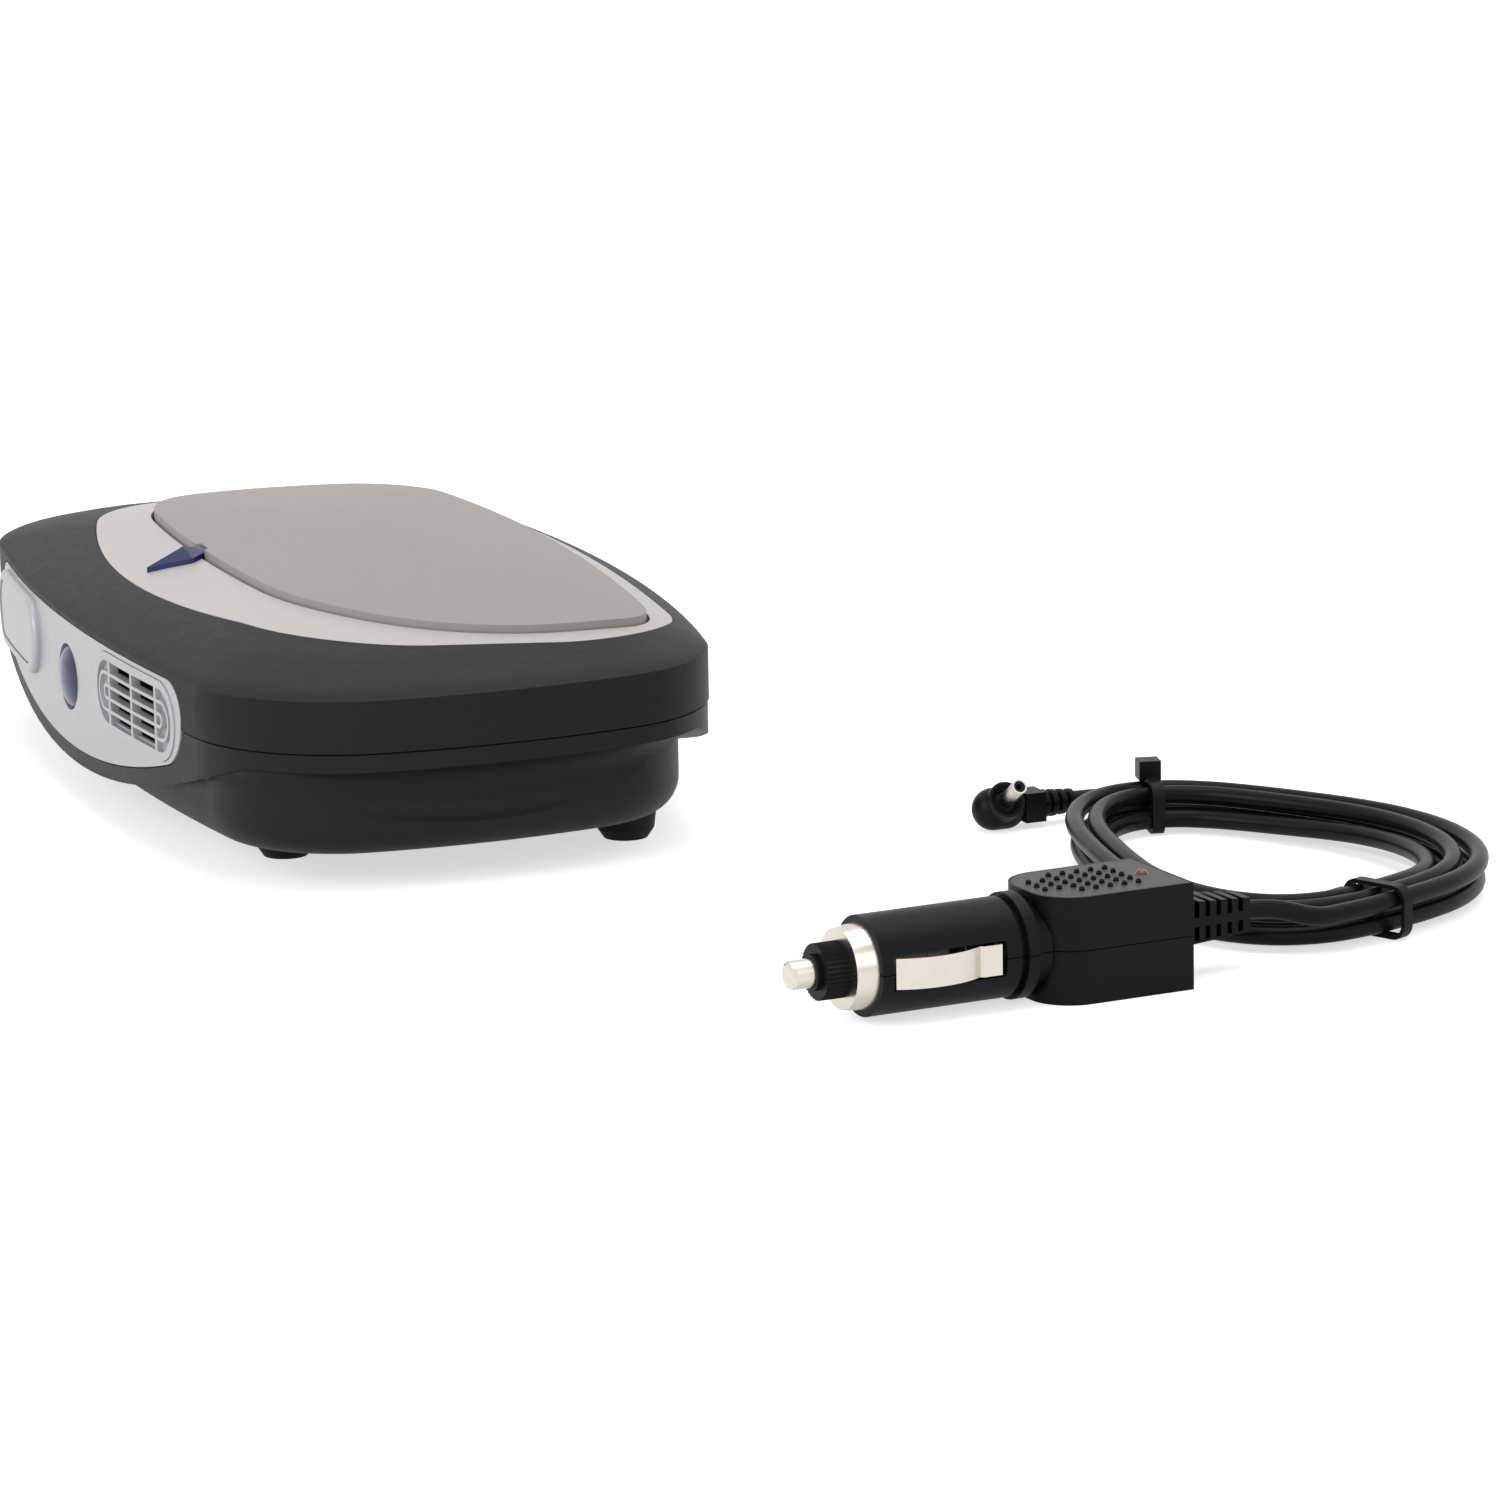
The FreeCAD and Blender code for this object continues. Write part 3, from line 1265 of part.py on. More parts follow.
def plug_plan(margin):
    """Edges of the box part's plan: square at the lead's end, rounded at the barrel's."""
    long_x = -size("box_length") + margin
    half = size("box_half_width") - margin
    corner = size("box_corner") - margin
    near_x = -margin
    bend = corner * (1 - math.sqrt(0.5))
    points = [Vector(near_x, -half, 0), Vector(near_x, half, 0), Vector(long_x + corner, half, 0),
              Vector(long_x, half - corner, 0), Vector(long_x, corner - half, 0), Vector(long_x + corner, -half, 0)]
    upper_mid = Vector(long_x + bend, half - bend, 0)
    lower_mid = Vector(long_x + bend, bend - half, 0)
    return Part.Wire([
        Part.makeLine(points[0], points[1]),
        Part.makeLine(points[1], points[2]),
        Part.Arc(points[2], upper_mid, points[3]).toShape(),
        Part.makeLine(points[3], points[4]),
        Part.Arc(points[4], lower_mid, points[5]).toShape(),
        Part.makeLine(points[5], points[0]),
    ])


def plug_slab(margin, low, high):
    face = Part.Face(plug_plan(margin))
    face.translate(Vector(0, 0, low))
    return face.extrude(Vector(0, 0, high - low))


BOX_LOW = "-axis_z"
BOX_TOP = "box_height-axis_z"
box_low = size(BOX_LOW)
box_top = size(BOX_TOP)
box_wall = size("box_wall")
plug_box = form("plug_box", plug_slab(0, box_low, box_top))
box_room = form("plug_box_room", plug_slab(box_wall, box_low + box_wall,
                                           box_top - box_wall - size("plate_thick")))
barrel = turned("plug_barrel", [
    ("barrel_front", "barrel_bore"),
    ("barrel_front", "barrel_radius"),
    ("groove_x", "barrel_radius"),
    ("groove_x", "neck_radius"),
    ("collar_x", "neck_radius"),
    ("collar_x", "collar_radius"),
    ("neck_x-box_wall", "collar_radius"),
    ("neck_x-box_wall", "neck_radius"),
    ("neck_x+box_wall", "neck_radius"),
    ("neck_x+box_wall", "barrel_bore"),
], axis="H_Axis")
barrel_room = cylinder("plug_barrel_room", "barrel_bore", "neck_x+box_wall+1-barrel_front", "barrel_front-1",
                       along="X")
LEAF_SLOT = ("leaf_front_x-slot_margin", "leaf_back_x+slot_end")
leaf_slot = box("leaf_slot", LEAF_SLOT, ("-2*barrel_radius", "2*barrel_radius"),
                ("-leaf_half_height-slot_margin", "leaf_half_height+slot_margin"))
plate_recess = form("plate_recess", plug_slab(size("plate_margin"), box_top - size("plate_thick") -
                                              size("plate_gap"), box_top + 1))
RELIEF_LOW = "relief_z-axis_z"
relief_hole = box("relief_hole", ("-2*box_wall", "1"),
                  ("-relief_half_width-relief_gap", "relief_half_width+relief_gap"),
                  (RELIEF_LOW + "-relief_half_height-relief_gap", RELIEF_LOW + "+relief_half_height+relief_gap"))
lamp_way = cylinder("lamp_way", "led_dome+seat_gap", "box_height", "led_x", "0")
plug_all = cut("plug_shell", fuse("plug_outer", plug_box, barrel), box_room, barrel_room, leaf_slot,
               plate_recess, relief_hole, lamp_way)
reach = "2*box_length-barrel_front"
upper_room = box("upper_room", ("-(%s)" % reach, "box_length"), ("-2*box_half_width", "2*box_half_width"),
                 ("seam_gap/2", "2*box_height"))
lower_room = box("lower_room", ("-(%s)" % reach, "box_length"), ("-2*box_half_width", "2*box_half_width"),
                 ("-2*box_height", "-seam_gap/2"))
bumps = []
bump_holes = []
middle_row = 2
for row in range(int(size("dot_rows"))):
    columns = range(-1, 2) if row < middle_row else range(-2, 3)
    for column in columns:
        spot = Vector(size("dot_start_x") + row * size("dot_pitch_x"), column * size("dot_pitch_y"),
                      box_top - size("plate_thick") - size("plate_gap"))
        top = Vector(spot.x, spot.y, box_top + size("dot_rise"))
        pin = Part.makeCylinder(size("dot_radius"), top.z - spot.z, spot)
        bumps.append(pin.fuse(Part.makeSphere(size("dot_radius"), top)))
        bump_holes.append(Part.makeCylinder(size("dot_radius") + size("dot_gap"), top.z - spot.z, spot))
upper_half = common("plug_upper_half", plug_all, upper_room)
bump_set = form("bump_set", Part.makeCompound(bumps))
node(seat_plug(fuse("AdapterUpper", upper_half, bump_set)), "adapter_upper_shell")
node(seat_plug(common("AdapterLower", plug_all, lower_room)), "adapter_lower_shell")

bump_hole_set = form("bump_hole_set", Part.makeCompound(bump_holes))
plate_solid = form("plate_solid", plug_slab(size("plate_margin") + size("plate_gap"),
                                            box_top - size("plate_thick"), box_top))
lamp_hole = cylinder("lamp_hole", "led_dome+seat_gap", "box_height", "led_x", "0")
node(seat_plug(cut("AdapterTopPlate", plate_solid, bump_hole_set, lamp_hole)), "adapter_top_plate")
lamp_low = "pcb_z+board_thick"
lamp_stem = cylinder("lamp_stem", "led_dome", "%s-(%s)" % (BOX_TOP, lamp_low), "led_x", "0", lamp_low)
lamp_dome = doc.addObject("Part::Sphere", "lamp_dome")
bind(lamp_dome, Radius="led_dome")
place(lamp_dome, "led_x", "0", BOX_TOP + "-led_dome/2")
node(seat_plug(fuse("AdapterLamp", lamp_stem, lamp_dome)), "adapter_led")
plug_board = box("plug_board", ("-box_wall-inner_gap-pcb_length", "-box_wall-inner_gap"),
                 ("-pcb_half_width", "pcb_half_width"), ("pcb_z", lamp_low))
board_notch = box("board_notch", ("-box_wall-relief_flange-2*relief_gap", "1"),
                  ("-relief_half_width-relief_flange-relief_gap", "relief_half_width+relief_flange+relief_gap"),
                  ("0", "box_height"))
node(seat_plug(cut("AdapterBoard", plug_board, board_notch)), "adapter_board")

# Nose of the plug: ring, knurled nut, tip, spring, fuse and the two side contacts
node(seat_plug(turned("NoseRing", [
    ("ring_front_x", "ring_bore"),
    ("ring_front_x", "ring_face"),
    ("barrel_front", "ring_outer"),
    ("barrel_front", "ring_seat"),
    ("barrel_front+ring_spigot", "ring_seat"),
    ("barrel_front+ring_spigot", "ring_bore"),
], axis="H_Axis")), "nose_ring")


def knurl():
    """The nut's toothed rim: a many-pointed outline drawn along the axis."""
    points = []
    count = 2 * int(size("knurl_count"))
    for i in range(count):
        radius = size("nut_radius") - (size("knurl_depth") if i % 2 else 0)
        angle = 2 * math.pi * i / count
        points.append(Vector(size("nut_front_x"), radius * math.cos(angle), radius * math.sin(angle)))
    face = Part.Face(Part.makePolygon(points + points[:1]))
    return face.extrude(Vector(size("ring_front_x") - size("nut_front_x"), 0, 0))


NUT_NOSE = "nut_front_x-tip_flange_thick"
NUT_FLOOR = "nut_front_x+tip_flange_thick"
NUT_END = "barrel_front+ring_spigot/2"
nut_nose = cylinder("nut_nose", "tip_flange-0.2", "tip_flange_thick", NUT_NOSE, along="X")
nut_neck = cylinder("nut_neck", "nut_neck", "%s-ring_front_x" % NUT_END, "ring_front_x", along="X")
nut_hole = cylinder("nut_hole", "tip_radius+tip_clearance", "20", NUT_NOSE + "-1", along="X")
nut_room = cylinder("nut_room", "tip_flange+seat_gap", "20", NUT_FLOOR, along="X")
node(seat_plug(cut("FuseNut", fuse("nut_solid", nut_nose, nut_neck, form("nut_rim", knurl())),
                   nut_hole, nut_room)), "fuse_nut")
TIP_FLANGE = NUT_FLOOR + "+board_clearance"
node(seat_plug(turned("TipContact", [
    ("tip_front_x", "0"),
    ("tip_front_x", "tip_radius-tip_round"),
    ("tip_front_x+tip_round*0.3", "tip_radius-tip_round*0.3"),
    ("tip_front_x+tip_round", "tip_radius"),
    (TIP_FLANGE, "tip_radius"),
    (TIP_FLANGE, "tip_flange"),
    (TIP_FLANGE + "+tip_flange_thick", "tip_flange"),
    (TIP_FLANGE + "+tip_flange_thick", "0"),
], axis="H_Axis")), "tip_contact")
FUSE_X = "tip_back_x+tip_travel"
node(seat_plug(turned("Fuse", [
    (FUSE_X, "0"),
    (FUSE_X, "fuse_radius"),
    (FUSE_X + "+fuse_cap", "fuse_radius"),
    (FUSE_X + "+fuse_cap", "fuse_radius-fuse_cap_thick"),
    (FUSE_X + "+fuse_length-fuse_cap", "fuse_radius-fuse_cap_thick"),
    (FUSE_X + "+fuse_length-fuse_cap", "fuse_radius"),
    (FUSE_X + "+fuse_length", "fuse_radius"),
    (FUSE_X + "+fuse_length", "0"),
], axis="H_Axis")), "fuse")
holder_x = FUSE_X + "+fuse_length+shaft_grip"
holder_disc = cylinder("holder_disc", "barrel_bore-inner_gap", "board_thick", holder_x, along="X")
node(seat_plug(compound("FuseHolder", holder_disc)), "fuse_holder")


def spring():
    """A small compression spring between the tip's flange and the fuse."""
    wire = size("spring_wire")
    low = size(TIP_FLANGE + "+tip_flange_thick") + wire
    high = size(FUSE_X) - wire
    pitch = (high - low) / size("spring_turns")
    path = Part.makeHelix(pitch, high - low, size("spring_radius"))
    ring = Part.Wire(Part.makeCircle(wire / 2, Vector(size("spring_radius"), 0, 0), Vector(0, 1, 0)))
    solid = Part.Wire(path.Edges).makePipeShell([ring], True, True)
    solid.rotate(Vector(0, 0, 0), Vector(0, 1, 0), 90)
    solid.translate(Vector(low, 0, 0))
    return Part.makeCompound([solid])


node(seat_plug(form("TipSpring", spring())), "tip_spring")


def leaf(side):
    """A bowed strip, seen from above, with a short flat end and a tab turned inwards."""
    seat_y = size("leaf_seat_y")
    thick = size("leaf_thick")
    front = size("leaf_front_x")
    back = size("leaf_back_x")
    knee = back - size("leaf_tab")
    middle = (front + knee) / 2
    bow = seat_y + size("leaf_bow")
    tab_y = seat_y - size("leaf_tab") / 2
    dip = size("leaf_dip")
    low_knee = Vector(knee - dip, seat_y - dip, 0)
    outer = [
        Part.Arc(Vector(front, seat_y, 0), Vector(middle, bow, 0), low_knee).toShape(),
        Part.makeLine(low_knee, Vector(knee, seat_y, 0)),
        Part.makeLine(Vector(knee, seat_y, 0), Vector(back, seat_y, 0)),
        Part.makeLine(Vector(back, seat_y, 0), Vector(back, tab_y, 0)),
        Part.makeLine(Vector(back, tab_y, 0), Vector(back - thick, tab_y, 0)),
        Part.makeLine(Vector(back - thick, tab_y, 0), Vector(back - thick, seat_y - thick, 0)),
        Part.makeLine(Vector(back - thick, seat_y - thick, 0), Vector(knee, seat_y - thick, 0)),
        Part.makeLine(Vector(knee, seat_y - thick, 0), low_knee - Vector(0, thick, 0)),
        Part.Arc(low_knee - Vector(0, thick, 0), Vector(middle, bow - thick, 0),
                 Vector(front, seat_y - thick, 0)).toShape(),
        Part.makeLine(Vector(front, seat_y - thick, 0), Vector(front, seat_y, 0)),
    ]
    strip = Part.Face(Part.Wire(outer))
    strip.translate(Vector(0, 0, -size("leaf_half_height")))
    solid = strip.extrude(Vector(0, 0, 2 * size("leaf_half_height")))
    if side < 0:
        solid = solid.mirror(Vector(0, 0, 0), Vector(0, 1, 0))
    return solid


node(seat_plug(form("SideContactNear", leaf(-1))), "side_contact_near")
node(seat_plug(form("SideContactFar", leaf(1))), "side_contact_far")

# Strain relief: a tapered block with slots, and a flange behind the wall


def rectangle(x, half_width, half_height):
    corners = [Vector(x, i * half_width, j * half_height) for i, j in ((-1, -1), (1, -1), (1, 1), (-1, 1))]
    return Part.makePolygon(corners + corners[:1])


relief_width = size("relief_half_width")
relief_height = size("relief_half_height")
relief_shrink = size("relief_end_scale")
relief_block = form("relief_block", Part.makeLoft([
    rectangle(0, relief_width, relief_height),
    rectangle(size("relief_length"), relief_width * relief_shrink, relief_height * relief_shrink),
], True, True))
relief_neck = box("relief_neck", ("-box_wall-relief_gap", "0"), ("-relief_half_width", "relief_half_width"),
                  ("-relief_half_height", "relief_half_height"))
relief_flange = box("relief_flange", ("-box_wall-relief_gap-relief_flange", "-box_wall-relief_gap"),
                    ("-relief_half_width-relief_flange", "relief_half_width+relief_flange"),
                    ("-relief_half_height", "relief_half_height"))
relief_slots = []
for number in range(int(size("relief_slots"))):
    x = "relief_slot_start+%d*relief_slot_pitch" % number
    crest = "relief_half_height*(1-(1-relief_end_scale)*(%s)/relief_length)" % x
    relief_slots.append(box("relief_groove_%d" % number, (x + "-relief_slot_width/2", x + "+relief_slot_width/2"),
                            ("-relief_half_width-1", "relief_half_width+1"),
                            (crest + "-relief_slot_depth", "relief_half_height+1")))
    for side in (-1, 1):
        depth = "(relief_half_width*relief_end_scale-relief_slot_depth)"
        low_y, high_y = (depth, "relief_half_width+1")
        if side < 0:
            low_y, high_y = ("-(%s)" % high_y, "-" + low_y)
        for half in (-1, 1):
            low_z, high_z = ("relief_slot_gap/2", "relief_half_height+1")
            if half < 0:
                low_z, high_z = ("relief_slot_edge-(%s)" % crest, "-relief_slot_gap/2")
            relief_slots.append(box("relief_slot_%d_%d_%d" % (number, side + 1, half + 1),
                                    (x + "-relief_slot_width/2", x + "+relief_slot_width/2"),
                                    (low_y, high_y), (low_z, high_z)))
relief = cut("StrainRelief", fuse("relief_solid", relief_block, relief_neck, relief_flange), *relief_slots)
node(seat_plug(relief, "relief_z"), "adapter_strain_relief")

# Lead: the cable's own runs, bends and turns


def turned_about(x, y, degrees):
    angle = math.radians(degrees)
    return (x * math.cos(angle) - y * math.sin(angle), x * math.sin(angle) + y * math.cos(angle))


cord_radius = size("cord_radius")
layer_low = cord_radius + size("tie_thick") + size("tie_clearance")
layer_top = layer_low + 2 * cord_radius + size("layer_gap")
top_turns = size("coil_turns_top")
all_turns = top_turns + size("coil_turns_low")


def coil_point(turn):
    """Middle of the cable after that many turns: inwards on top, then down and out again below."""
    inward = top_turns - abs(turn - top_turns)
    across = size("coil_half_length") - size("coil_step_long") * inward
    along = size("coil_half_width") - size("coil_step_wide") * inward
    angle = 2 * math.pi * turn
    swell = 1 + size("coil_lobe") * math.cos(3 * angle - math.radians(size("coil_lobe_angle")))
    x, y = turned_about(swell * across * math.cos(angle), swell * along * math.sin(angle), size("coil_tilt"))
    fall = min(max((turn - top_turns) / 0.5 + 0.5, 0.0), 1.0)
    height = layer_top - (layer_top - layer_low) * (1 - math.cos(math.pi * fall)) / 2
    return Vector(size("coil_x") + x, size("coil_y") + y, height)


def coil_heading(turn):
    step = 0.002
    return (coil_point(turn + step) - coil_point(turn - step)).normalize()


def biarc(start, start_heading, end, end_heading):
    """Two tangent arcs that join two points with given headings."""
    span = end - start
    headings = start_heading + end_heading
    square = 2 * (1 - start_heading.dot(end_heading))
    middle = span.dot(headings)
    reach = (-middle + math.sqrt(middle ** 2 + square * span.dot(span))) / square
    first = start + start_heading * reach
    second = end - end_heading * reach
    joint = (first + second) * 0.5
    edges = []
    for low, corner, high in ((start, first, joint), (joint, second, end)):
        middle_point = (low + high) * 0.5
        rise = corner - middle_point
        half = (high - low).Length / 2
        bow = half * math.tan(math.atan2(rise.Length, half) / 2)
        rise.normalize()
        edges.append(Part.Arc(low, middle_point + rise * bow, high).toShape())
    return edges


def tube(name, edges, radius):
    """A round cable along a path, compared with its section times its length."""
    path = Part.Wire(edges)
    first = edges[0]
    start = first.valueAt(first.FirstParameter)
    heading = first.tangentAt(first.FirstParameter)
    ring = Part.Wire(Part.makeCircle(radius, start, heading))
    solid = path.makePipeShell([ring], True, False)
    share = solid.Volume / (math.pi * radius ** 2 * path.Length)
    print("%s: length %.1f mm, volume over section times length %.5f" % (name, path.Length, share))
    return form(name, solid)


def rounded_route(name, points):
    """Straight runs joined by arcs, each as large as its shorter run allows."""
    edges = []
    last = points[0]
    radii = []
    for i in range(1, len(points) - 1):
        into = points[i] - points[i - 1]
        out = points[i + 1] - points[i]
        trim = 0.45 * min(into.Length, out.Length)
        turn = into.getAngle(out)
        radii.append(trim / math.tan(turn / 2))
        start = points[i] - into.normalize() * trim
        end = points[i] + out.normalize() * trim
        middle = (start + end) * 0.5
        rise = points[i] - middle
        half = (end - start).Length / 2
        bow = half * math.tan(turn / 4)
        edges.append(Part.makeLine(last, start))
        edges.append(Part.Arc(start, middle + rise.normalize() * bow, end).toShape())
        last = end
    edges.append(Part.makeLine(last, points[-1]))
    print("%s: bend radii in mm" % name, [round(radius, 1) for radius in radii])
    return edges


stub = 2 * cord_radius
coil_start = coil_point(0) - coil_heading(0) * stub
coil_end = coil_point(all_turns) + coil_heading(all_turns) * stub
twelfths = int(round(all_turns * 12))
stations = [all_turns * i / twelfths for i in range(twelfths + 1)]
coil_edges = [Part.makeLine(coil_start, coil_point(0))]
for low, high in zip(stations, stations[1:]):
    coil_edges += biarc(coil_point(low), coil_heading(low), coil_point(high), coil_heading(high))
coil_edges.append(Part.makeLine(coil_point(all_turns), coil_end))


spacing = 2.0
coil_samples = []
for edge in coil_edges:
    coil_samples += edge.discretize(max(2, int(edge.Length / spacing) + 1))[:-1]


def least_gap(points, radius):
    """The coil's least gap to itself, between points at least four diameters apart along it."""
    skip = int(8 * radius / spacing) + 1
    least = min(points[i].distanceToPoint(points[j])
                for i in range(len(points)) for j in range(i + skip, len(points)))
    return least - 2 * radius


print("coil: least gap to itself %.2f mm" % least_gap(coil_samples, cord_radius))
node(tube("PowerCordCoil", coil_edges, cord_radius), "power_cord_coil")

relief_x, relief_y = turned_about(size("relief_length"), 0, size("adapter_yaw"))
relief_heading = Vector(*turned_about(1, 0, size("adapter_yaw")), 0)
lead_start = Vector(size("adapter_x") + relief_x, size("adapter_y") + relief_y, size("relief_z"))
lead_route = [lead_start, lead_start + relief_heading * 7]
lead_route += [coil_start - coil_heading(0) * 8, coil_start]
node(tube("PowerCordLead", rounded_route("lead", lead_route), cord_radius), "power_cord_lead")

plug_heading = Vector(*turned_about(1, 0, size("plug_yaw")), 0)
plug_start = Vector(size("plug_x"), size("plug_y"), size("plug_axis_z"))
tail_route = [coil_end, coil_end + coil_heading(all_turns) * 5]
tail_route += [plug_start - plug_heading * 16, plug_start]
node(tube("PowerCordTail", rounded_route("tail", tail_route), cord_radius), "power_cord_tail")


def tie(name, turn, inside):
    """A band round the coil's turns where the cable has made that many turns, its head on top or inside."""
    here = coil_point(turn)
    along = coil_heading(turn)
    along.z = 0
    along.normalize()
    outward = Vector(along.y, -along.x, 0)
    reach = []
    near = size("coil_half_length") / 2
    for sample in coil_samples:
        offset = sample - here
        if abs(offset.dot(along)) < size("tie_width") and abs(offset.dot(outward)) < near:
            reach.append(offset.dot(outward))
    gap = cord_radius + size("tie_clearance")
    low = min(reach) - gap
    high = max(reach) + gap
    thick = size("tie_thick")
    top = layer_top + gap
    bottom = layer_low - gap
    width = size("tie_width")

    def loop(grow):
        """A section round all the turns, with corners that follow the cable."""
        radius = gap + grow
        quarter = math.pi / 2
        centres = [(high - gap, bottom + gap), (high - gap, top - gap), (low + gap, top - gap),
                   (low + gap, bottom + gap)]
        arcs = []
        for i, (x, z) in enumerate(centres):
            arcs.append(front_arc(x, z, radius, (i - 1) * quarter, i * quarter))
        edges = []
        for i in range(4):
            end = arcs[i].Vertexes[-1].Point
            start = arcs[(i + 1) % 4].Vertexes[0].Point
            edges += [arcs[i], Part.makeLine(end, start)]
        face = Part.Face(Part.Wire(edges))
        face.translate(Vector(0, -width / 2, 0))
        return face.extrude(Vector(0, width, 0))

    head = size("tie_head")
    tall = size("tie_head_height")
    if inside:
        knob = Part.makeBox(tall, head, head, Vector(low - tall, -head / 2, (top + bottom - head) / 2))
    else:
        knob = Part.makeBox(head, head, tall, Vector(high - gap - head / 2, -head / 2, top))
    solid = loop(thick).fuse(knob).cut(loop(0))
    solid = Part.makeCompound([solid])
    angle = math.degrees(math.atan2(outward.y, outward.x))
    item = form(name, solid)
    item.Placement = FreeCAD.Placement(Vector(here.x, here.y, 0), Rotation(Z_AXIS, angle))
    return item


node(tie("CordTieLeft", size("left_tie_turn"), False), "cord_tie_left")
node(tie("CordTieRight", size("right_tie_turn"), True), "cord_tie_right")

# Small angled plug, drawn along +X from the cable's end, then set in place


def seat_dc_plug(item):
    item.Placement = FreeCAD.Placement(plug_start, Rotation(Z_AXIS, size("plug_yaw")))
    item.setExpression("Placement.Base.x", "Dimensions.plug_x")
    item.setExpression("Placement.Base.y", "Dimensions.plug_y")
    item.setExpression("Placement.Base.z", "Dimensions.plug_axis_z")
    item.setExpression("Placement.Rotation.Angle", "Dimensions.plug_yaw")
    return item


rib_pitch = "plug_relief_length/(plug_ribs+0.5)"
relief_profile = [("0", "0"), ("0", "plug_relief_end")]
for number in range(int(size("plug_ribs"))):
    start = "(%d+0.5)*%s" % (number, rib_pitch)
    for x, y in (("0", "0"), ("0", "-plug_relief_end/3"), ("0.5*", "-plug_relief_end/3"), ("0.5*", "0")):
        here = start if x == "0" else "%s+0.5*%s" % (start, rib_pitch)
        taper = "plug_relief_end+(plug_relief_radius-plug_relief_end)*(%s)/plug_relief_length" % here
        relief_profile.append((here, taper + ("" if y == "0" else y)))
relief_profile += [("plug_relief_length", "plug_relief_radius"), ("plug_relief_length", "0")]
plug_relief = turned("plug_relief", relief_profile, axis="H_Axis")
plug_neck = box("plug_neck", ("plug_relief_length", "plug_relief_length+plug_neck_length+1"),
                ("-plug_neck_half", "plug_neck_half"), ("-plug_neck_half", "plug_neck_half"))
HEAD_START = "plug_relief_length+plug_neck_length"
HEAD_MIDDLE = HEAD_START + "+plug_head_length/2"
head_tube = cylinder("plug_head_tube", "plug_head_radius", "plug_head_length-2*plug_head_radius",
                     HEAD_START + "+plug_head_radius", along="X")
head_ends = []
for number, x in enumerate((HEAD_START + "+plug_head_radius", HEAD_START + "+plug_head_length-plug_head_radius")):
    ball = doc.addObject("Part::Sphere", "plug_head_end_%d" % number)
    bind(ball, Radius="plug_head_radius")
    head_ends.append(place(ball, x))


def leaning(name, radius, length, start, end_radius=None):
    """A round piece on the barrel's leaning axis, from that distance off the head's middle."""
    kind = "Part::Cylinder" if end_radius is None else "Part::Cone"
    item = doc.addObject(kind, name)
    if end_radius is None:
        bind(item, Radius=radius, Height=length)
    else:
        bind(item, Radius1=radius, Radius2=end_radius, Height=length)
    item.Placement = FreeCAD.Placement(Vector(0, 0, 0), Rotation(Vector(-1, 0, 0), size("plug_tilt")))
    item.setExpression("Placement.Rotation.Angle", "Dimensions.plug_tilt")
    item.setExpression("Placement.Base.x", bound(HEAD_MIDDLE))
    item.setExpression("Placement.Base.y", bound("(%s)*sin(plug_tilt)" % start))
    item.setExpression("Placement.Base.z", bound("(%s)*cos(plug_tilt)" % start))
    return item


plug_seat = leaning("plug_seat", "plug_seat_radius", "plug_seat_reach", "0")
plug_dish = leaning("plug_dish", "dc_radius+0.6", "plug_dish_depth+0.01", "plug_seat_reach-plug_dish_depth",
                    "plug_seat_radius-0.6")
BARREL_START = "plug_seat_reach-plug_dish_depth-3"
barrel_hole = leaning("barrel_hole", "dc_radius+dc_clearance", "20", BARREL_START)
plug_body = cut("DcPlugBody", fuse("plug_solid", plug_relief, plug_neck, head_tube, plug_seat, *head_ends),
                plug_dish, barrel_hole)
node(seat_dc_plug(plug_body), "dc_plug_body")
sleeve = leaning("dc_sleeve", "dc_radius", "dc_length+3", BARREL_START)
sleeve_hole = leaning("dc_sleeve_hole", "dc_radius-dc_wall", "dc_length+4", BARREL_START + "-0.5")
node(seat_dc_plug(cut("DcPlugBarrel", sleeve, sleeve_hole)), "dc_plug_barrel")
core = leaning("dc_core", "dc_radius-dc_wall-dc_clearance", "dc_length+2.7", BARREL_START)
core_hole = leaning("dc_core_hole", "dc_bore", "dc_length", BARREL_START + "+2.8")
node(seat_dc_plug(cut("DcPlugInsulator", core, core_hole)), "dc_plug_insulator")

# Every object is worked out and sound before a file is written
doc.recompute()
for item in doc.Objects:
    if "Invalid" in item.State or "Error" in item.State:
        raise RuntimeError("%s was not worked out: %s" % (item.Name, item.State))
for item in NODES:
    if item.Shape.isNull() or not item.Shape.isValid():
        raise RuntimeError("%s has no sound shape" % item.Label)
os.makedirs("parts", exist_ok=True)
for item in NODES:
    item.Shape.exportStep("parts/%s.step" % item.Label)
print("%d pieces written" % len(NODES))
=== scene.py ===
import math

import bpy
from mathutils import Matrix, Vector


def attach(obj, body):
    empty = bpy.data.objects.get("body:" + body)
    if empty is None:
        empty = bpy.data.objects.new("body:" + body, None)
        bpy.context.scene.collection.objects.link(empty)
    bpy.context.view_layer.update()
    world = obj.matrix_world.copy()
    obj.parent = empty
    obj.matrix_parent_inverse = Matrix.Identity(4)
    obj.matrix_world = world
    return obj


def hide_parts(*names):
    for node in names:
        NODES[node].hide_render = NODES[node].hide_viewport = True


# A car air purifier with its coiled lead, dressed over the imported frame. Lengths are in metres, apart from
# those whose name ends in MM and those of the lead, which are in millimetres.

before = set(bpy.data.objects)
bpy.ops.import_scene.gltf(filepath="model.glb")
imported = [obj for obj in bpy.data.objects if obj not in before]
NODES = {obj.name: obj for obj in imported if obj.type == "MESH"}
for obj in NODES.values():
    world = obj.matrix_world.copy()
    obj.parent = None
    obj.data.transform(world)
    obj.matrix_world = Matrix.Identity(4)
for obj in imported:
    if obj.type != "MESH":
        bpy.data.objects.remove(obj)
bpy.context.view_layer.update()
MM = 0.001
scene = bpy.context.scene

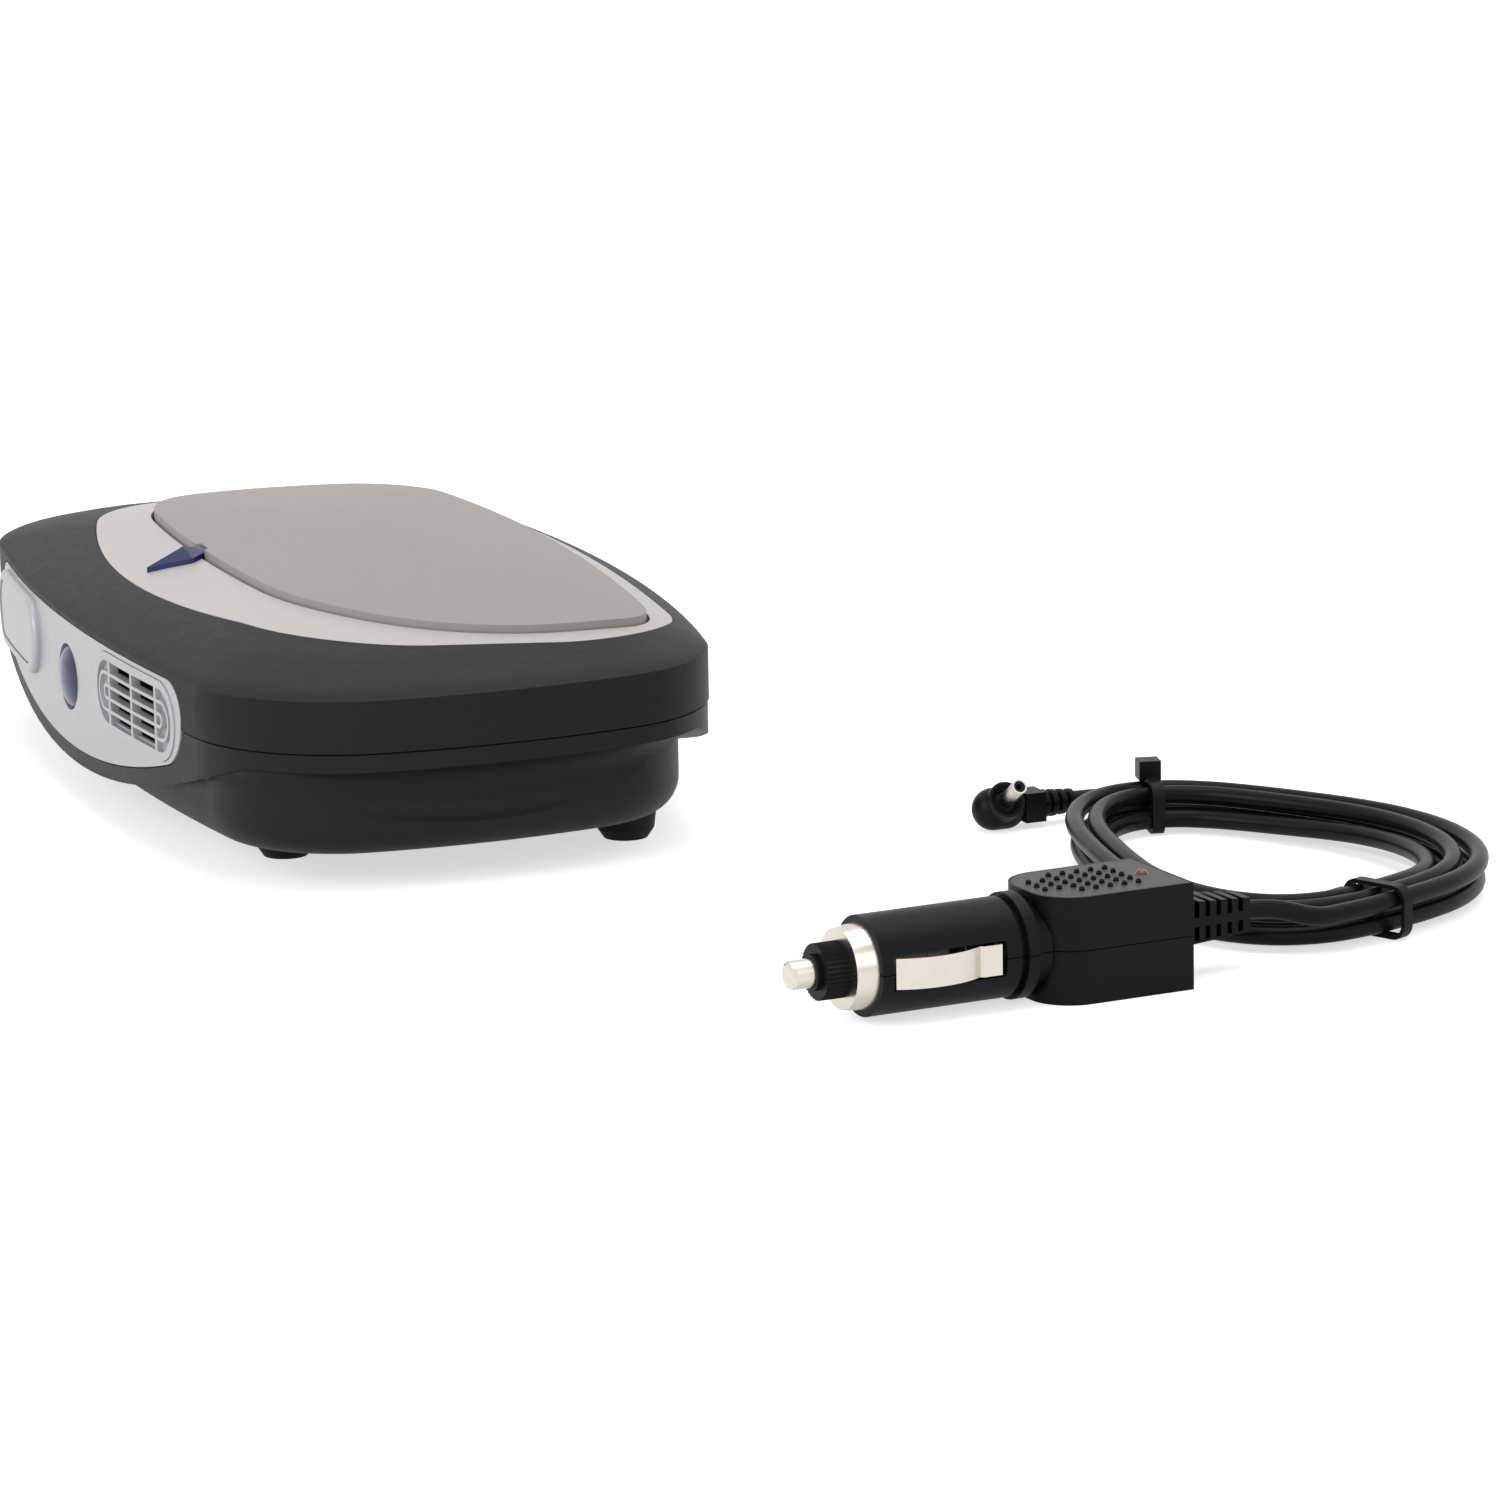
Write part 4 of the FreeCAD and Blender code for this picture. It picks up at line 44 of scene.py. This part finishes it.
# Camera at the photograph's angle: its place, its turn in radians and its focal length
CAMERA_AT = Vector((1.5523, -0.4355, 0.3558))
CAMERA_PITCH = 0.215
CAMERA_YAW = 2.809
CAMERA_ROLL = -0.018
FOCAL_LENGTH_PX = 7000.9
PICTURE_WIDTH_PX = 1500
SENSOR_MM = 36.0
CLIP_NEAR = 0.05
CLIP_FAR = 20.0


def make_camera():
    yaw, pitch, roll = CAMERA_YAW, CAMERA_PITCH, CAMERA_ROLL
    ahead = Vector((math.cos(yaw) * math.cos(pitch), math.sin(yaw) * math.cos(pitch), -math.sin(pitch)))
    level = Vector((math.sin(yaw), -math.cos(yaw), 0))
    up = level.cross(ahead)
    right = level * math.cos(roll) + up * math.sin(roll)
    top = up * math.cos(roll) - level * math.sin(roll)
    turn = Matrix((right, top, -ahead)).transposed().to_4x4()
    data = bpy.data.cameras.new("Camera")
    data.sensor_width = SENSOR_MM
    data.lens = FOCAL_LENGTH_PX / PICTURE_WIDTH_PX * SENSOR_MM
    data.clip_start = CLIP_NEAR
    data.clip_end = CLIP_FAR
    camera = bpy.data.objects.new("Camera", data)
    camera.matrix_world = Matrix.Translation(CAMERA_AT) @ turn
    scene.collection.objects.link(camera)
    scene.camera = camera


# Shader nodes, of a material or of the world


def new_material(name):
    """A new material and its main shader."""
    material = bpy.data.materials.new(name)
    material.use_nodes = True
    return material, material.node_tree.nodes["Principled BSDF"]


def add_node(owner, kind, inputs=(), **settings):
    item = owner.node_tree.nodes.new(kind)
    for key, value in settings.items():
        setattr(item, key, value)
    for key, value in dict(inputs).items():
        item.inputs[key].default_value = value
    return item


def wire(owner, source, target):
    owner.node_tree.links.new(source, target)


def place_of(material):
    """The point on the model itself, in metres, so that a texture keeps its scale and stays put."""
    return add_node(material, "ShaderNodeTexCoord").outputs["Object"]


def noise(material, size_mm, detail=3.0, roughness=0.5):
    """Noise whose blobs are about that many millimetres across."""
    texture = add_node(material, "ShaderNodeTexNoise", {
        "Scale": 1 / (size_mm * MM), "Detail": detail, "Roughness": roughness})
    wire(material, place_of(material), texture.inputs["Vector"])
    return texture.outputs["Fac"]


def spread(material, value, low, high, low_in=0.3, high_in=0.7):
    """Maps a range of a value, at first the middle range of a noise, to low and high."""
    item = add_node(material, "ShaderNodeMapRange", {
        "From Min": low_in, "From Max": high_in, "To Min": low, "To Max": high})
    wire(material, value, item.inputs["Value"])
    return item.outputs["Result"]


def mixed(material, share, first, second):
    """A colour between two, by share. The second is a colour or another node's output."""
    item = add_node(material, "ShaderNodeMix", data_type="RGBA")
    item.inputs["A"].default_value = (*first, 1)
    if isinstance(second, bpy.types.NodeSocket):
        wire(material, second, item.inputs["B"])
    else:
        item.inputs["B"].default_value = (*second, 1)
    wire(material, share, item.inputs["Factor"])
    return item.outputs["Result"]


def bumps(material, height, depth_mm):
    item = add_node(material, "ShaderNodeBump", {"Strength": 1.0, "Distance": depth_mm * MM})
    wire(material, height, item.inputs["Height"])
    return item.outputs["Normal"]


# Sizes of the surface patterns, and how far the roughness and the darker tint go from the written value
DRIFT_MM = 2.5
SHEEN_MM = 3.0
SHEEN_SWING = 0.05
SMEAR_MM = 6.0
SMEAR_TINT = 0.9
SMEAR_ROUGHNESS = (0.8, 1.3)
METAL_GRAIN_MM = 0.25
METAL_GRAIN_DEPTH_MM = 0.002
CLOUD_MM = 4.0
CLOUD_TINT = 0.75
CLOUD_SWING = 0.2
ACRYLIC_IOR = 1.49
COAT_ROUGHNESS = 0.05


def moulded(name, colour, roughness, grain_mm, grain_depth_mm, variation, metallic, specular):
    """A moulded or painted surface: slight colour drift, patchy gloss and a fine grain."""
    material, shader = new_material(name)
    drift = spread(material, noise(material, DRIFT_MM), 0, 1)
    dark = [c * (1 - variation) for c in colour]
    light = [c * (1 + variation) for c in colour]
    wire(material, mixed(material, drift, dark, light), shader.inputs["Base Color"])
    patch = noise(material, SHEEN_MM, detail=5.0)
    sheen = spread(material, patch, roughness * (1 - SHEEN_SWING), roughness * (1 + SHEEN_SWING))
    wire(material, sheen, shader.inputs["Roughness"])
    grain = noise(material, grain_mm, detail=2.0)
    wire(material, bumps(material, grain, grain_depth_mm), shader.inputs["Normal"])
    shader.inputs["Metallic"].default_value = metallic
    shader.inputs["Specular IOR Level"].default_value = specular
    return material


def metal(name, colour, roughness):
    """Bare or plated metal with faint smears and a fine grain."""
    material, shader = new_material(name)
    smear = noise(material, SMEAR_MM, detail=6.0, roughness=0.6)
    tint = [c * SMEAR_TINT for c in colour]
    wire(material, mixed(material, spread(material, smear, 0, 1), tint, colour), shader.inputs["Base Color"])
    smooth, dull = [roughness * share for share in SMEAR_ROUGHNESS]
    wire(material, spread(material, smear, smooth, dull), shader.inputs["Roughness"])
    grain = noise(material, METAL_GRAIN_MM, detail=2.0)
    wire(material, bumps(material, grain, METAL_GRAIN_DEPTH_MM), shader.inputs["Normal"])
    shader.inputs["Metallic"].default_value = 1.0
    return material


def tinted(name, colour, roughness, coat):
    """Dark tinted plastic: gloss over a deep colour."""
    material, shader = new_material(name)
    cloud = noise(material, CLOUD_MM)
    deep = [c * CLOUD_TINT for c in colour]
    wire(material, mixed(material, spread(material, cloud, 0, 1), deep, colour), shader.inputs["Base Color"])
    gloss = spread(material, cloud, roughness * (1 - CLOUD_SWING), roughness * (1 + CLOUD_SWING))
    wire(material, gloss, shader.inputs["Roughness"])
    shader.inputs["IOR"].default_value = ACRYLIC_IOR
    shader.inputs["Coat Weight"].default_value = coat
    shader.inputs["Coat Roughness"].default_value = COAT_ROUGHNESS
    return material


# The front's curved face, seen from above, and how deep behind it the grille's openings get painted shade
FACE_RADIUS_MM = 665.0
FACE_CENTRE_Y_MM = 598.8
SHADE_DEPTH_MM = 1.6
SHADE_BLEND_MM = 0.3
# Painted shade: the dark colour deep in the grille's openings
GRILLE_SHADE = (0.010, 0.010, 0.011)


def shade_grille_openings(material):
    """Keeps the material's colour near the curved front face, and paints dark shade further in, in the
    openings.
    """
    base_colour = material.node_tree.nodes["Principled BSDF"].inputs["Base Color"]
    paint = base_colour.links[0].from_socket
    level = add_node(material, "ShaderNodeVectorMath", {1: (1, 1, 0), 2: (0, -FACE_CENTRE_Y_MM * MM, 0)},
                     operation="MULTIPLY_ADD")
    wire(material, place_of(material), level.inputs[0])
    distance = add_node(material, "ShaderNodeVectorMath", operation="LENGTH")
    wire(material, level.outputs["Vector"], distance.inputs[0])
    shaded_from = FACE_RADIUS_MM - SHADE_DEPTH_MM
    share = spread(material, distance.outputs["Value"], 0, 1, (shaded_from - SHADE_BLEND_MM) * MM,
                   shaded_from * MM)
    # Painted shade: the grille turns dark deeper than its face
    wire(material, mixed(material, share, GRILLE_SHADE, paint), base_colour)


# Moulded and painted surfaces: name, colour, roughness, grain's size and depth in millimetres, colour drift,
# metallic share and specular level
MOULDED = {
    # Painted light: the top shell is a lighter, warmer black than the base, though both are the same plastic,
    # for the light its top catches
    "case_top": ("CaseTop", (0.015, 0.0135, 0.0135), 0.5, 0.3, 0.006, 0.04, 0.0, 0.15),
    "case_base": ("CaseBase", (0.009, 0.009, 0.010), 0.46, 0.3, 0.006, 0.04, 0.0, 0.2),
    "silver": ("SilverPaint", (0.60, 0.58, 0.57), 0.42, 0.2, 0.003, 0.015, 0.15, 0.5),
    "silver_front": ("SilverFront", (0.54, 0.54, 0.555), 0.38, 0.2, 0.003, 0.015, 0.25, 0.5),
    "grille": ("GrillePaint", (0.54, 0.54, 0.555), 0.38, 0.2, 0.003, 0.015, 0.25, 0.5),
    "pad": ("GreyPad", (0.40, 0.38, 0.37), 0.55, 0.25, 0.008, 0.015, 0.0, 0.3),
    "rubber": ("Rubber", (0.010, 0.010, 0.010), 0.6, 0.5, 0.012, 0.12, 0.0, 0.2),
    "inner": ("InnerPlastic", (0.010, 0.010, 0.011), 0.5, 0.35, 0.006, 0.12, 0.0, 0.2),
    "white": ("WhitePlastic", (0.62, 0.62, 0.60), 0.45, 0.35, 0.006, 0.12, 0.0, 0.5),
    "felt": ("FilterFelt", (0.50, 0.54, 0.50), 0.85, 0.6, 0.05, 0.12, 0.0, 0.5),
    "board": ("Board", (0.02, 0.11, 0.05), 0.4, 0.8, 0.01, 0.12, 0.0, 0.5),
    "plug_black": ("PlugBlack", (0.006, 0.006, 0.007), 0.38, 0.35, 0.003, 0.05, 0.0, 0.12),
    "plate": ("SatinPlate", (0.070, 0.068, 0.068), 0.45, 0.2, 0.006, 0.03, 0.0, 0.2),
    "cord": ("CordJacket", (0.005, 0.005, 0.005), 0.32, 0.5, 0.003, 0.05, 0.0, 0.12),
}

# Metals: name, colour and roughness
METALS = {
    "steel": ("ZincSteel", (0.52, 0.52, 0.53), 0.35),
    "nickel": ("Nickel", (0.74, 0.69, 0.62), 0.24),
}

# Tinted plastics and glass: name, colour, roughness and weight of the clear coat
TINTED = {
    "blue": ("BlueLens", (0.006, 0.006, 0.110), 0.25, 0.0),
    "front_blue": ("FrontLens", (0.016, 0.018, 0.095), 0.12, 0.3),
    "lamp": ("RedLamp", (0.20, 0.010, 0.015), 0.15, 0.3),
    "glass": ("FuseTube", (0.5, 0.52, 0.52), 0.1, 0.3),
}

# The nodes that wear each finish
NODES_OF = {
    "case_top": ["upper_shell"],
    "case_base": ["lower_shell"],
    "silver": ["trim_ring"],
    "silver_front": ["front_panel", "control_button"],
    "grille": ["outlet_grille"],
    "pad": ["top_pad"],
    "blue": ["drop_lens", "indicator_leds"],
    "front_blue": ["front_lens"],
    "rubber": ["rubber_feet"],
    "inner": ["switch_plunger", "tact_switch", "blower_housing", "filter_frame", "ioniser_module",
              "fuse_holder", "dc_plug_insulator"],
    "white": ["impeller", "needle_holder"],
    "felt": ["filter_media"],
    "board": ["circuit_board", "control_board", "adapter_board"],
    "steel": ["case_screws", "blower_screws", "fan_motor", "motor_shaft", "needle_electrodes", "tip_spring"],
    "nickel": ["nose_ring", "tip_contact", "side_contact_near", "side_contact_far", "dc_plug_barrel"],
    "plug_black": ["dc_jack", "adapter_upper_shell", "adapter_lower_shell", "fuse_nut",
                   "adapter_strain_relief", "cord_tie_left", "cord_tie_right", "dc_plug_body"],
    "plate": ["adapter_top_plate"],
    "lamp": ["adapter_led"],
    "glass": ["fuse"],
}


def make_materials():
    materials = {finish: moulded(*row) for finish, row in MOULDED.items()}
    materials.update({finish: metal(*row) for finish, row in METALS.items()})
    materials.update({finish: tinted(*row) for finish, row in TINTED.items()})
    shade_grille_openings(materials["grille"])
    return materials


def dress_nodes(materials):
    for finish, names in NODES_OF.items():
        for name in names:
            slots = NODES[name].data.materials
            slots.clear()
            slots.append(materials[finish])


# Lead, in millimetres: one cable from the lighter plug, through the coil and on to the small plug. The coil is
# an oval with three soft lobes, wound inwards on top and outwards below.
CORD_RADIUS = 2.1
COIL_CENTRE = (187.3, 153.2)
COIL_TILT = math.radians(-3.4)
COIL_HALF = (63.0, 42.8)
COIL_STEP = (5.6, 5.3)
COIL_LOBES = 3
COIL_LOBE = 0.094
COIL_LOBE_ANGLE = math.radians(243.5)
TOP_TURNS = 2.25
ALL_TURNS = TOP_TURNS + 2.18
FALL_TURNS = 0.5
LAYER_LOW = 3.4
LAYER_TOP = 8.3
POINTS_A_TURN = 24
HEADING_STEP_TURNS = 0.002
STUB = 2 * CORD_RADIUS
PLUG_AT = (253.8, 102.4)
PLUG_YAW = math.radians(97.5)
RELIEF_LENGTH = 18.8
RELIEF_Z = 11.6
SMALL_PLUG_AT = (112.8, 138.5, 4.8)
SMALL_PLUG_YAW = math.radians(-86.0)
CURVE_STEPS = 6
BEVEL_STEPS = 6

# How far the lead and the tail run straight on at each of their ends
LEAD_AT_RELIEF = 7
LEAD_AT_COIL = 8
TAIL_AT_COIL = 5
TAIL_AT_PLUG = 16


def heading(yaw):
    return Vector((math.cos(yaw), math.sin(yaw), 0))


def coil_point(turn):
    """Middle of the cable after that many turns: inwards on top, then down and out again below."""
    inward = TOP_TURNS - abs(turn - TOP_TURNS)
    across = COIL_HALF[0] - COIL_STEP[0] * inward
    along = COIL_HALF[1] - COIL_STEP[1] * inward
    angle = 2 * math.pi * turn
    swell = 1 + COIL_LOBE * math.cos(COIL_LOBES * angle - COIL_LOBE_ANGLE)
    x, y = swell * across * math.cos(angle), swell * along * math.sin(angle)
    fall = min(max((turn - TOP_TURNS) / FALL_TURNS + 0.5, 0.0), 1.0)
    height = LAYER_TOP - (LAYER_TOP - LAYER_LOW) * (1 - math.cos(math.pi * fall)) / 2
    return Vector((
        COIL_CENTRE[0] + x * math.cos(COIL_TILT) - y * math.sin(COIL_TILT),
        COIL_CENTRE[1] + x * math.sin(COIL_TILT) + y * math.cos(COIL_TILT),
        height,
    ))


def coil_heading(turn):
    return (coil_point(turn + HEADING_STEP_TURNS) - coil_point(turn - HEADING_STEP_TURNS)).normalized()


def cord_points():
    """The cable's control points: lead, coil and tail, as the solids' route has them."""
    plug_heading = heading(PLUG_YAW)
    relief_end = Vector((*PLUG_AT, RELIEF_Z)) + plug_heading * RELIEF_LENGTH
    start_heading = coil_heading(0)
    coil_start = coil_point(0) - start_heading * STUB
    lead = [
        relief_end,
        relief_end + plug_heading * LEAD_AT_RELIEF,
        coil_start - start_heading * LEAD_AT_COIL,
        coil_start,
    ]
    steps = round(ALL_TURNS * POINTS_A_TURN)
    coil = [coil_point(ALL_TURNS * i / steps) for i in range(steps + 1)]
    end_heading = coil_heading(ALL_TURNS)
    coil_end = coil_point(ALL_TURNS) + end_heading * STUB
    small_plug = Vector(SMALL_PLUG_AT)
    tail = [
        coil_end,
        coil_end + end_heading * TAIL_AT_COIL,
        small_plug - heading(SMALL_PLUG_YAW) * TAIL_AT_PLUG,
        small_plug,
    ]
    return lead + coil + tail


def spline_length(curve):
    """Length of the curve's own line, in metres."""
    line = curve.copy()
    line.data = curve.data.copy()
    line.data.bevel_depth = 0
    scene.collection.objects.link(line)
    bpy.context.view_layer.update()
    mesh = bpy.data.meshes.new_from_object(line)
    points = [vertex.co for vertex in mesh.vertices]
    total = sum((b - a).length for a, b in zip(points, points[1:]))
    bpy.data.objects.remove(line)
    return total


def make_cord(material):
    data = bpy.data.curves.new("power_cord", "CURVE")
    data.dimensions = "3D"
    data.bevel_depth = CORD_RADIUS * MM
    data.bevel_resolution = BEVEL_STEPS
    data.resolution_u = CURVE_STEPS
    data.use_fill_caps = True
    spline = data.splines.new("NURBS")
    points = cord_points()
    spline.points.add(len(points) - 1)
    for item, point in zip(spline.points, points):
        item.co = (*(c * MM for c in point), 1)
    spline.use_endpoint_u = True
    spline.order_u = 3
    cord = bpy.data.objects.new("power_cord", data)
    scene.collection.objects.link(cord)
    data.materials.append(material)
    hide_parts("power_cord_lead", "power_cord_coil", "power_cord_tail")
    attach(cord, "case")
    spline_length(cord)


# Floor and world, whose glow shows only to the camera and in reflections and lights nothing
FLOOR_HALF = 6.0
FLOOR_COLOUR = (0.9, 0.9, 0.9, 1)
FLOOR_ROUGHNESS = 0.9
FLOOR_SPECULAR = 0.1
FLOOR_GLOW_SEEN = 0.62
FLOOR_GLOW_MIRRORED = 0.35
WHITE = (1, 1, 1, 1)
WORLD_LIGHT = 0.45
WORLD_SEEN = 1.0

# Lamps: name, place, size of the square and watts, all turned to one point
LAMPS_AIM = (0.12, 0.05, 0.03)
LAMPS = [
    ("Overhead", (0.1, 0.3, 1.8), 1.6, 12),
    ("FrontLeft", (0.6, -1.6, 0.9), 1.0, 10),
    ("CameraSide", (1.9, 0.5, 1.0), 1.2, 3.5),
]


def make_stage():
    corners = [(x * FLOOR_HALF, y * FLOOR_HALF, 0) for x, y in ((-1, -1), (1, -1), (1, 1), (-1, 1))]
    mesh = bpy.data.meshes.new("Floor")
    mesh.from_pydata(corners, [], [(0, 1, 2, 3)])
    floor = bpy.data.objects.new("Floor", mesh)
    scene.collection.objects.link(floor)
    material, shader = new_material("PaleFloor")
    shader.inputs["Base Color"].default_value = FLOOR_COLOUR
    shader.inputs["Roughness"].default_value = FLOOR_ROUGHNESS
    shader.inputs["Specular IOR Level"].default_value = FLOOR_SPECULAR
    path = add_node(material, "ShaderNodeLightPath")
    mirrored = add_node(material, "ShaderNodeMath", {1: FLOOR_GLOW_MIRRORED}, operation="MULTIPLY")
    wire(material, path.outputs["Is Glossy Ray"], mirrored.inputs[0])
    lift = add_node(material, "ShaderNodeMath", {1: FLOOR_GLOW_SEEN}, operation="MULTIPLY_ADD")
    wire(material, path.outputs["Is Camera Ray"], lift.inputs[0])
    wire(material, mirrored.outputs[0], lift.inputs[2])
    glow = add_node(material, "ShaderNodeEmission", {"Color": WHITE})
    wire(material, lift.outputs[0], glow.inputs["Strength"])
    both = add_node(material, "ShaderNodeAddShader")
    wire(material, shader.outputs[0], both.inputs[0])
    wire(material, glow.outputs[0], both.inputs[1])
    wire(material, both.outputs[0], material.node_tree.nodes["Material Output"].inputs["Surface"])
    mesh.materials.append(material)


def larger(owner, first, second):
    """The larger of two values."""
    item = add_node(owner, "ShaderNodeMath", operation="MAXIMUM")
    wire(owner, first, item.inputs[0])
    wire(owner, second, item.inputs[1])
    return item.outputs[0]


def make_world():
    world = bpy.data.worlds.new("World")
    scene.world = world
    world.use_nodes = True
    background = world.node_tree.nodes["Background"]
    background.inputs["Color"].default_value = WHITE
    ray = add_node(world, "ShaderNodeLightPath").outputs
    through = larger(world, ray["Is Camera Ray"], ray["Is Transmission Ray"])
    seen = larger(world, through, ray["Is Glossy Ray"])
    wire(world, spread(world, seen, WORLD_LIGHT, WORLD_SEEN, 0, 1), background.inputs["Strength"])


def make_lamps():
    for name, place, size, watts in LAMPS:
        data = bpy.data.lights.new(name, "AREA")
        data.shape = "SQUARE"
        data.size = size
        data.energy = watts
        lamp = bpy.data.objects.new(name, data)
        lamp.rotation_euler = (Vector(LAMPS_AIM) - Vector(place)).to_track_quat("-Z", "Y").to_euler()
        lamp.location = place
        scene.collection.objects.link(lamp)


scene.view_settings.view_transform = "Standard"
materials = make_materials()
make_camera()
dress_nodes(materials)
make_cord(materials["cord"])
make_stage()
make_world()
make_lamps()
